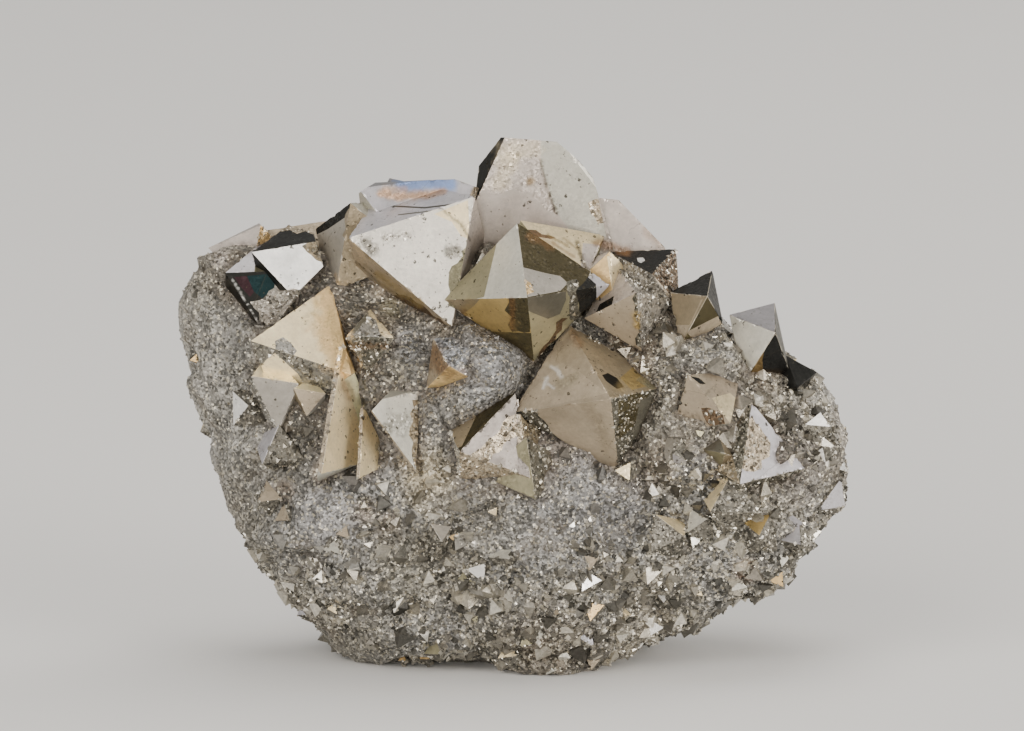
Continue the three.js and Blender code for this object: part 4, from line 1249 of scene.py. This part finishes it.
def strewing_tree():
    """Strews one crystal over a bed, as thickly as the bed's named value says."""
    tree = bpy.data.node_groups.new("strewn_crystals", "GeometryNodeTree")
    tree.is_modifier = True
    for name, kind in (
        ("Bed", "NodeSocketGeometry"), ("Crystal", "NodeSocketObject"), ("Density", "NodeSocketFloat"),
        ("Smallest", "NodeSocketFloat"), ("Largest", "NodeSocketFloat"), ("Sunk", "NodeSocketFloat"),
        ("Seed", "NodeSocketInt"), ("Thickness", "NodeSocketString"), ("Finish", "NodeSocketMaterial"),
    ):
        tree.interface.new_socket(name, in_out="INPUT", socket_type=kind)
    tree.interface.new_socket("Crystals", in_out="OUTPUT", socket_type="NodeSocketGeometry")
    g = Graph(tree)
    given = g.add("NodeGroupInput").outputs
    thick = g.add("GeometryNodeInputNamedAttribute", {"Name": given["Thickness"]}, data_type="FLOAT")
    density = g.math("MULTIPLY", thick.outputs[0], given["Density"])
    points = g.add("GeometryNodeDistributePointsOnFaces", {
        "Mesh": given["Bed"], "Density": density, "Seed": given["Seed"],
    }, distribute_method="RANDOM")
    share = g.math("POWER", g.random(0.0, 1.0, given["Seed"]), SMALL_ONES)
    size = g.math("ADD", given["Smallest"],
                  g.math("MULTIPLY", share, g.math("SUBTRACT", given["Largest"], given["Smallest"])))
    sunk = g.math("MULTIPLY", g.math("MULTIPLY", size, given["Sunk"]), -1.0)
    offset = g.vector("SCALE", {0: points.outputs["Normal"], "Scale": sunk})
    placed = g.add("GeometryNodeSetPosition", {"Geometry": points.outputs["Points"], "Offset": offset})
    shape = g.random((SLIMMEST,) * 3, (STOUTEST,) * 3, given["Seed"])
    scale = g.vector("SCALE", {0: shape, "Scale": size})
    turn = g.random((0.0,) * 3, (2 * math.pi,) * 3, given["Seed"])
    crystal = g.add("GeometryNodeObjectInfo", {"Object": given["Crystal"]})
    strewn = g.add("GeometryNodeInstanceOnPoints", {
        "Points": placed.outputs[0], "Instance": crystal.outputs["Geometry"],
        "Rotation": turn, "Scale": scale,
    })
    toned = g.add("GeometryNodeStoreNamedAttribute", {
        "Geometry": strewn.outputs[0], "Name": "tone", "Value": g.random(0.0, 1.0, TONE_SEED),
    }, data_type="FLOAT", domain="INSTANCE")
    real = g.add("GeometryNodeRealizeInstances", {"Geometry": toned.outputs[0]})
    done = g.add("GeometryNodeSetMaterial", {"Geometry": real.outputs[0], "Material": given["Finish"]})
    g.add("NodeGroupOutput", {"Crystals": done.outputs[0]})
    return tree


def unit_octahedron():
    """The crystal that is strewn: an octahedron with half axes of 1."""
    bm = bmesh.new()
    for axis in range(3):
        for side in (1, -1):
            place = [0.0, 0.0, 0.0]
            place[axis] = float(side)
            bm.verts.new(place)
    bmesh.ops.convex_hull(bm, input=bm.verts)
    obj = bpy.data.objects.new("unit_octahedron", made_mesh("unit_octahedron", bm))
    bpy.context.scene.collection.objects.link(obj)
    return obj


def strew(name, bed_mesh, density, sizes, sunk, seed, slot, thickness="druse"):
    """Strews crystals over a bed and keeps them as one plain mesh."""
    material = shared_material("druse_grains", grain_material)
    tree = bpy.data.node_groups.get("strewn_crystals") or strewing_tree()
    crystal = unit_octahedron()
    piece = new_object(name, bed_mesh, material)
    strewing = piece.modifiers.new("strewing", "NODES")
    strewing.node_group = tree
    values = {"Crystal": crystal, "Density": density, "Smallest": sizes[0], "Largest": sizes[1],
              "Sunk": sunk, "Seed": seed, "Thickness": thickness, "Finish": material}
    for socket in tree.interface.items_tree:
        if socket.in_out == "INPUT" and socket.name in values:
            strewing[socket.identifier] = values[socket.name]
    bpy.context.view_layer.update()
    shown_piece = piece.evaluated_get(bpy.context.evaluated_depsgraph_get())
    mesh = bpy.data.meshes.new_from_object(shown_piece)
    piece.modifiers.clear()
    piece.data = mesh
    bpy.data.meshes.remove(bed_mesh)
    bpy.data.objects.remove(crystal)
    finish_mesh(mesh, name, material)
    if not len(mesh.polygons):
        raise RuntimeError(f"{name} has no crystals")
    keep_in_box(mesh)
    finish_piece(piece, slot)


# ---------------------------------------------------------------- operators
class SPECIMEN_OT_matrix(bpy.types.Operator):
    """Makes the granular rock in place of its solid"""
    bl_idname = "specimen.matrix"
    bl_label = "Matrix"

    def execute(self, context):
        bm = sphere_mesh()
        directions = np.array([v.co for v in bm.verts], float)
        places = stood(rock_points(directions))
        outward = directions @ np.array([RIGHT, UPWARD, TOWARD])
        gap, clear = crystal_gaps(places)
        relief = rock_relief(places)
        lift = relief * clear - SOCKET_DEPTH * (1 - clear)
        places = inside_box(places + outward * lift[:, None])
        for v, place in zip(bm.verts, places):
            v.co = place
        bmesh.ops.recalc_face_normals(bm, faces=bm.faces)
        mesh = made_mesh("matrix_rock", bm)
        # Painted shade and light by the relief: darker in the hollows, lighter on the crags.
        tints = rock_tint(places) * np.clip(1.05 + relief * PAINTED_RELIEF_LIGHT_AND_SHADE, 0.5, 1.14)[:, None]
        # The rock painted darker and browner near the crystals: painted shade where they meet, and brown
        # dirt.
        ragged = 1 + 0.7 * uneven(places, 0.0025)
        shade = np.clip(1 - gap * ragged / ROCK_DIRT_AND_SHADE_REACH, 0, 1) * ROCK_DIRT_AND_SHADE_STRENGTH
        tints += (palette("brown_matrix") * 0.5 - tints) * shade[:, None]
        store_tints(mesh, tints)
        share = druse_share(places)
        store(mesh, "druse", "FLOAT", share * (0.2 + 0.8 * clear))
        store(mesh, "open_druse", "FLOAT", np.clip(share * 1.5 - 0.5, 0, 1) * clear)
        material = shared_material("granular_matrix", rock_material)
        finish_piece(new_object("matrix_rock", mesh, material), "matrix", "matrix")
        return {"FINISHED"}


class SPECIMEN_OT_crystals(bpy.types.Operator):
    """Dresses the large crystals in place of their solids"""
    bl_idname = "specimen.crystals"
    bl_label = "Large crystals"

    def execute(self, context):
        looks, facets = collect_looks()
        rock = bpy.data.objects["matrix_rock"]
        rock_tree = BVHTree.FromObject(rock, context.evaluated_depsgraph_get())
        material = shared_material("crystal_faces", crystal_face_material)
        for name in CRYSTAL_NODES:
            finish_piece(dress_crystal(name, looks, facets, rock_tree, material), "crystal", name)
        return {"FINISHED"}


def add_small_crystal(bm, i, centre, axes, name):
    """Adds one small crystal: its open face has its own colour, the others are like the rock and mostly
    darker, as painted shade.
    """
    one = bmesh.new()
    tint_layer = one.faces.layers.float_vector.new("face_tint")
    grain_layer = one.faces.layers.float.new("face_grain")
    places = inside_box(stood(np.concatenate([centre + axes, centre - axes])))
    tips = [one.verts.new(place) for place in places]
    bmesh.ops.convex_hull(one, input=one.verts)
    bmesh.ops.recalc_face_normals(one, faces=one.faces)
    one.normal_update()
    out_of_rock = places.mean(0) - stood([*ROCK_CENTRE, 0])[0]
    outward = Vector(TOWARD if centre[2] > 0 else out_of_rock).normalized()
    open_face = one.faces.get(tips[:3]) if i < len(SMALL_CRYSTALS) else None
    open_face = open_face or max(one.faces, key=lambda face: face.normal.dot(outward))
    shaded = palette("pitch" if name == "pitch" else "matrix")
    for n, face in enumerate(one.faces):
        light = SHADED_LIGHTS[(i * 3 + n) % len(SHADED_LIGHTS)]
        face[tint_layer] = Vector(palette(name) if face is open_face else shaded * light)
        face[grain_layer] = OPEN_GRAIN if face is open_face or name == "pitch" else 1.0
    bevelled(one, one.edges, SMALL_EDGE)
    part = made_mesh("part", one)
    bm.from_mesh(part)
    bpy.data.meshes.remove(part)


class SPECIMEN_OT_small_crystals(bpy.types.Operator):
    """Makes the small crystals that are one with the matrix"""
    bl_idname = "specimen.small_crystals"
    bl_label = "Small crystals"

    def execute(self, context):
        bm = bmesh.new()
        bm.faces.layers.float_vector.new("face_tint")
        bm.faces.layers.float.new("face_grain")
        for i, crystal in enumerate([*small_octahedra(), *strewn_octahedra()]):
            add_small_crystal(bm, i, *crystal)
        bmesh.ops.triangulate(bm, faces=bm.faces)
        refine(bm, SMALL_STEP)
        tint_layer = bm.faces.layers.float_vector["face_tint"]
        grain_layer = bm.faces.layers.float["face_grain"]
        tints = per_corner(bm, lambda face: face[tint_layer])
        grains = per_corner(bm, lambda face: face[grain_layer])
        mesh = made_mesh("small_crystals", bm)
        for layer in ("face_tint", "face_grain"):
            mesh.attributes.remove(mesh.attributes[layer])
        store_tints(mesh, tints, "CORNER")
        finishes = np.column_stack([0.25 + 0.2 * grains, grains, PATCH_PITS * np.ones(len(grains))])
        store(mesh, "finish", "FLOAT_VECTOR", finishes, "CORNER")
        material = shared_material("crystal_faces", crystal_face_material)
        finish_piece(new_object("small_crystals", mesh, material), "crystal")
        return {"FINISHED"}


class SPECIMEN_OT_druse(bpy.types.Operator):
    """Strews druse crystals and grains over the rock"""
    bl_idname = "specimen.druse"
    bl_label = "Druse and grains"

    def execute(self, context):
        settings = context.scene.specimen_druse
        rock = bpy.data.objects["matrix_rock"].data
        sizes = (settings.druse_smallest, settings.druse_largest)
        strew("druse_crystals", rock.copy(), settings.druse_density, sizes, 0.3, settings.seed, "matrix",
              "open_druse")
        sizes = (settings.grain_smallest, settings.grain_largest)
        for i, (name, front) in enumerate((("front_grains", True), ("back_grains", False))):
            bed = half_bed(rock, front)
            density = settings.grain_density * (1.0 if front else BACK_SHARE)
            strew(name, bed, density, sizes, 0.1, settings.seed + 1 + i, "matrix")
        bed = crystal_bed(context.evaluated_depsgraph_get())
        density = settings.grain_density * ON_CRYSTALS
        strew("crystal_grains", bed, density, sizes, 0.25, settings.seed + 4, "crystal")
        return {"FINISHED"}


def bed_without(bm, spare):
    """A mesh without its spare faces, as a bed to strew over."""
    bmesh.ops.delete(bm, geom=spare, context="FACES")
    return made_mesh("bed", bm)


def crystal_bed(depsgraph):
    """The grainy places of the dressed crystals, outside the rock, as a bed to strew over."""
    rock_tree = BVHTree.FromObject(bpy.data.objects["matrix_rock"], depsgraph)
    bm = bmesh.new()
    for name in [f"{node}_faces" for node in CRYSTAL_NODES] + ["small_crystals"]:
        bm.from_mesh(bpy.data.objects[name].data)
    finish = bm.loops.layers.float_vector["finish"]
    spare = []
    for face in bm.faces:
        middle = face.calc_center_median()
        ground, normal, _, _ = rock_tree.find_nearest(middle)
        inside = (middle - ground).dot(normal) < 0
        if inside or sum(loop[finish].y for loop in face.loops) < 3 * GRAINY:
            spare.append(face)
    bed = bed_without(bm, spare)
    store(bed, "druse", "FLOAT", np.ones(len(bed.vertices)))
    return bed


def half_bed(mesh, front):
    """The half of the rock that faces the viewer, or the other, as a bed to strew over."""
    bm = bmesh.new()
    bm.from_mesh(mesh)
    places = np.array([f.calc_center_median() for f in bm.faces])
    keep = (shown(places)[:, 2] > -2) == front
    return bed_without(bm, [f for f, kept in zip(bm.faces, keep) if not kept])


LIGHTS = (  # name, place from the middle of the specimen, side
    ("key", (-0.85, -1.0, 0.85), 1.1), ("fill", (1.15, -0.85, 0.2), 0.8), ("top", (0.1, 0.35, 1.3), 1.0),
    ("front", (-0.4, -1.65, 0.2), 0.7), ("rim", (1.2, 0.65, 0.16), 1.0),
)
LIT_HEIGHT = 36  # millimetres up the show plane, where the lights point
AIR_COLOUR, AIR_STRENGTH = (0.86, 0.85, 0.83, 1), 0.55
VIEW_REACH = 20  # metres


class SPECIMEN_OT_stage(bpy.types.Operator):
    """Sets the floor, the soft light and the camera"""
    bl_idname = "specimen.stage"
    bl_label = "Stage"

    def execute(self, context):
        settings = context.scene.specimen_stage
        self.floor(settings)
        aim = Vector(stood([0, LIT_HEIGHT, 0])[0])
        for name, place, side in LIGHTS:
            light = bpy.data.lights.new(f"{name}_light", "AREA")
            light.shape, light.size = "SQUARE", side
            light.energy = getattr(settings, f"{name}_power")
            light.color = settings.light_colour
            holder = bpy.data.objects.new(light.name, light)
            context.scene.collection.objects.link(holder)
            holder.location = aim + Vector(place)
            holder.rotation_euler = (aim - holder.location).to_track_quat("-Z", "Y").to_euler()
        self.air(context.scene)
        self.camera(context.scene)
        return {"FINISHED"}

    def floor(self, settings):
        half = settings.floor_size / 2
        mesh = bpy.data.meshes.new("floor")
        corners = [(-half, -half, 0), (half, -half, 0), (half, half, 0), (-half, half, 0)]
        mesh.from_pydata(corners, [], [(0, 1, 2, 3)])
        new_object("floor", mesh, floor_material(settings.floor_colour))

    def air(self, scene):
        world = bpy.data.worlds.new("studio_air")
        world.use_nodes = True
        background = world.node_tree.nodes["Background"]
        background.inputs["Color"].default_value = AIR_COLOUR
        background.inputs["Strength"].default_value = AIR_STRENGTH
        scene.world = world

    def camera(self, scene):
        data = bpy.data.cameras.new("camera")
        data.sensor_width = SENSOR
        data.lens = SENSOR * VIEW_DISTANCE * PIXELS_PER_MM / PICTURE[0]
        data.clip_end = VIEW_REACH
        eye, _ = sight_line(PICTURE[0] / 2, PICTURE[1] / 2)
        holder = bpy.data.objects.new("camera", data)
        holder.location = eye
        holder.rotation_euler = Vector(-TOWARD).to_track_quat("-Z", "Y").to_euler()
        scene.collection.objects.link(holder)
        scene.camera = holder


class SPECIMEN_PT_panel(bpy.types.Panel):
    """Lists the specimen's pieces and their settings"""
    bl_idname = "SPECIMEN_PT_panel"
    bl_label = "Specimen"
    bl_space_type = "VIEW_3D"
    bl_region_type = "UI"
    bl_category = "Specimen"

    def draw(self, context):
        scene = context.scene
        for operator in OPERATORS:
            self.layout.operator(operator.bl_idname)
        for holder in SETTINGS:
            box = self.layout.box()
            group = getattr(scene, holder)
            for key in SETTINGS[holder].__annotations__:
                box.prop(group, key)


OPERATORS = [SPECIMEN_OT_matrix, SPECIMEN_OT_crystals, SPECIMEN_OT_small_crystals, SPECIMEN_OT_druse,
             SPECIMEN_OT_stage]
SETTINGS = {
    "specimen_palette": PaletteSettings, "specimen_crystals": CrystalSettings,
    "specimen_matrix": MatrixSettings, "specimen_druse": DruseSettings, "specimen_stage": StageSettings,
}


def register():
    for cls in (*SETTINGS.values(), *OPERATORS, SPECIMEN_PT_panel):
        bpy.utils.register_class(cls)
    for holder, cls in SETTINGS.items():
        setattr(bpy.types.Scene, holder, PointerProperty(type=cls))


def unregister():
    for holder in SETTINGS:
        delattr(bpy.types.Scene, holder)
    for cls in (SPECIMEN_PT_panel, *OPERATORS, *SETTINGS.values()):
        bpy.utils.unregister_class(cls)


def main():
    register()
    bpy.ops.specimen.stage()
    bpy.ops.specimen.matrix()
    bpy.ops.specimen.crystals()
    bpy.ops.specimen.small_crystals()
    bpy.ops.specimen.druse()


if __name__ == "__main__":
    main()
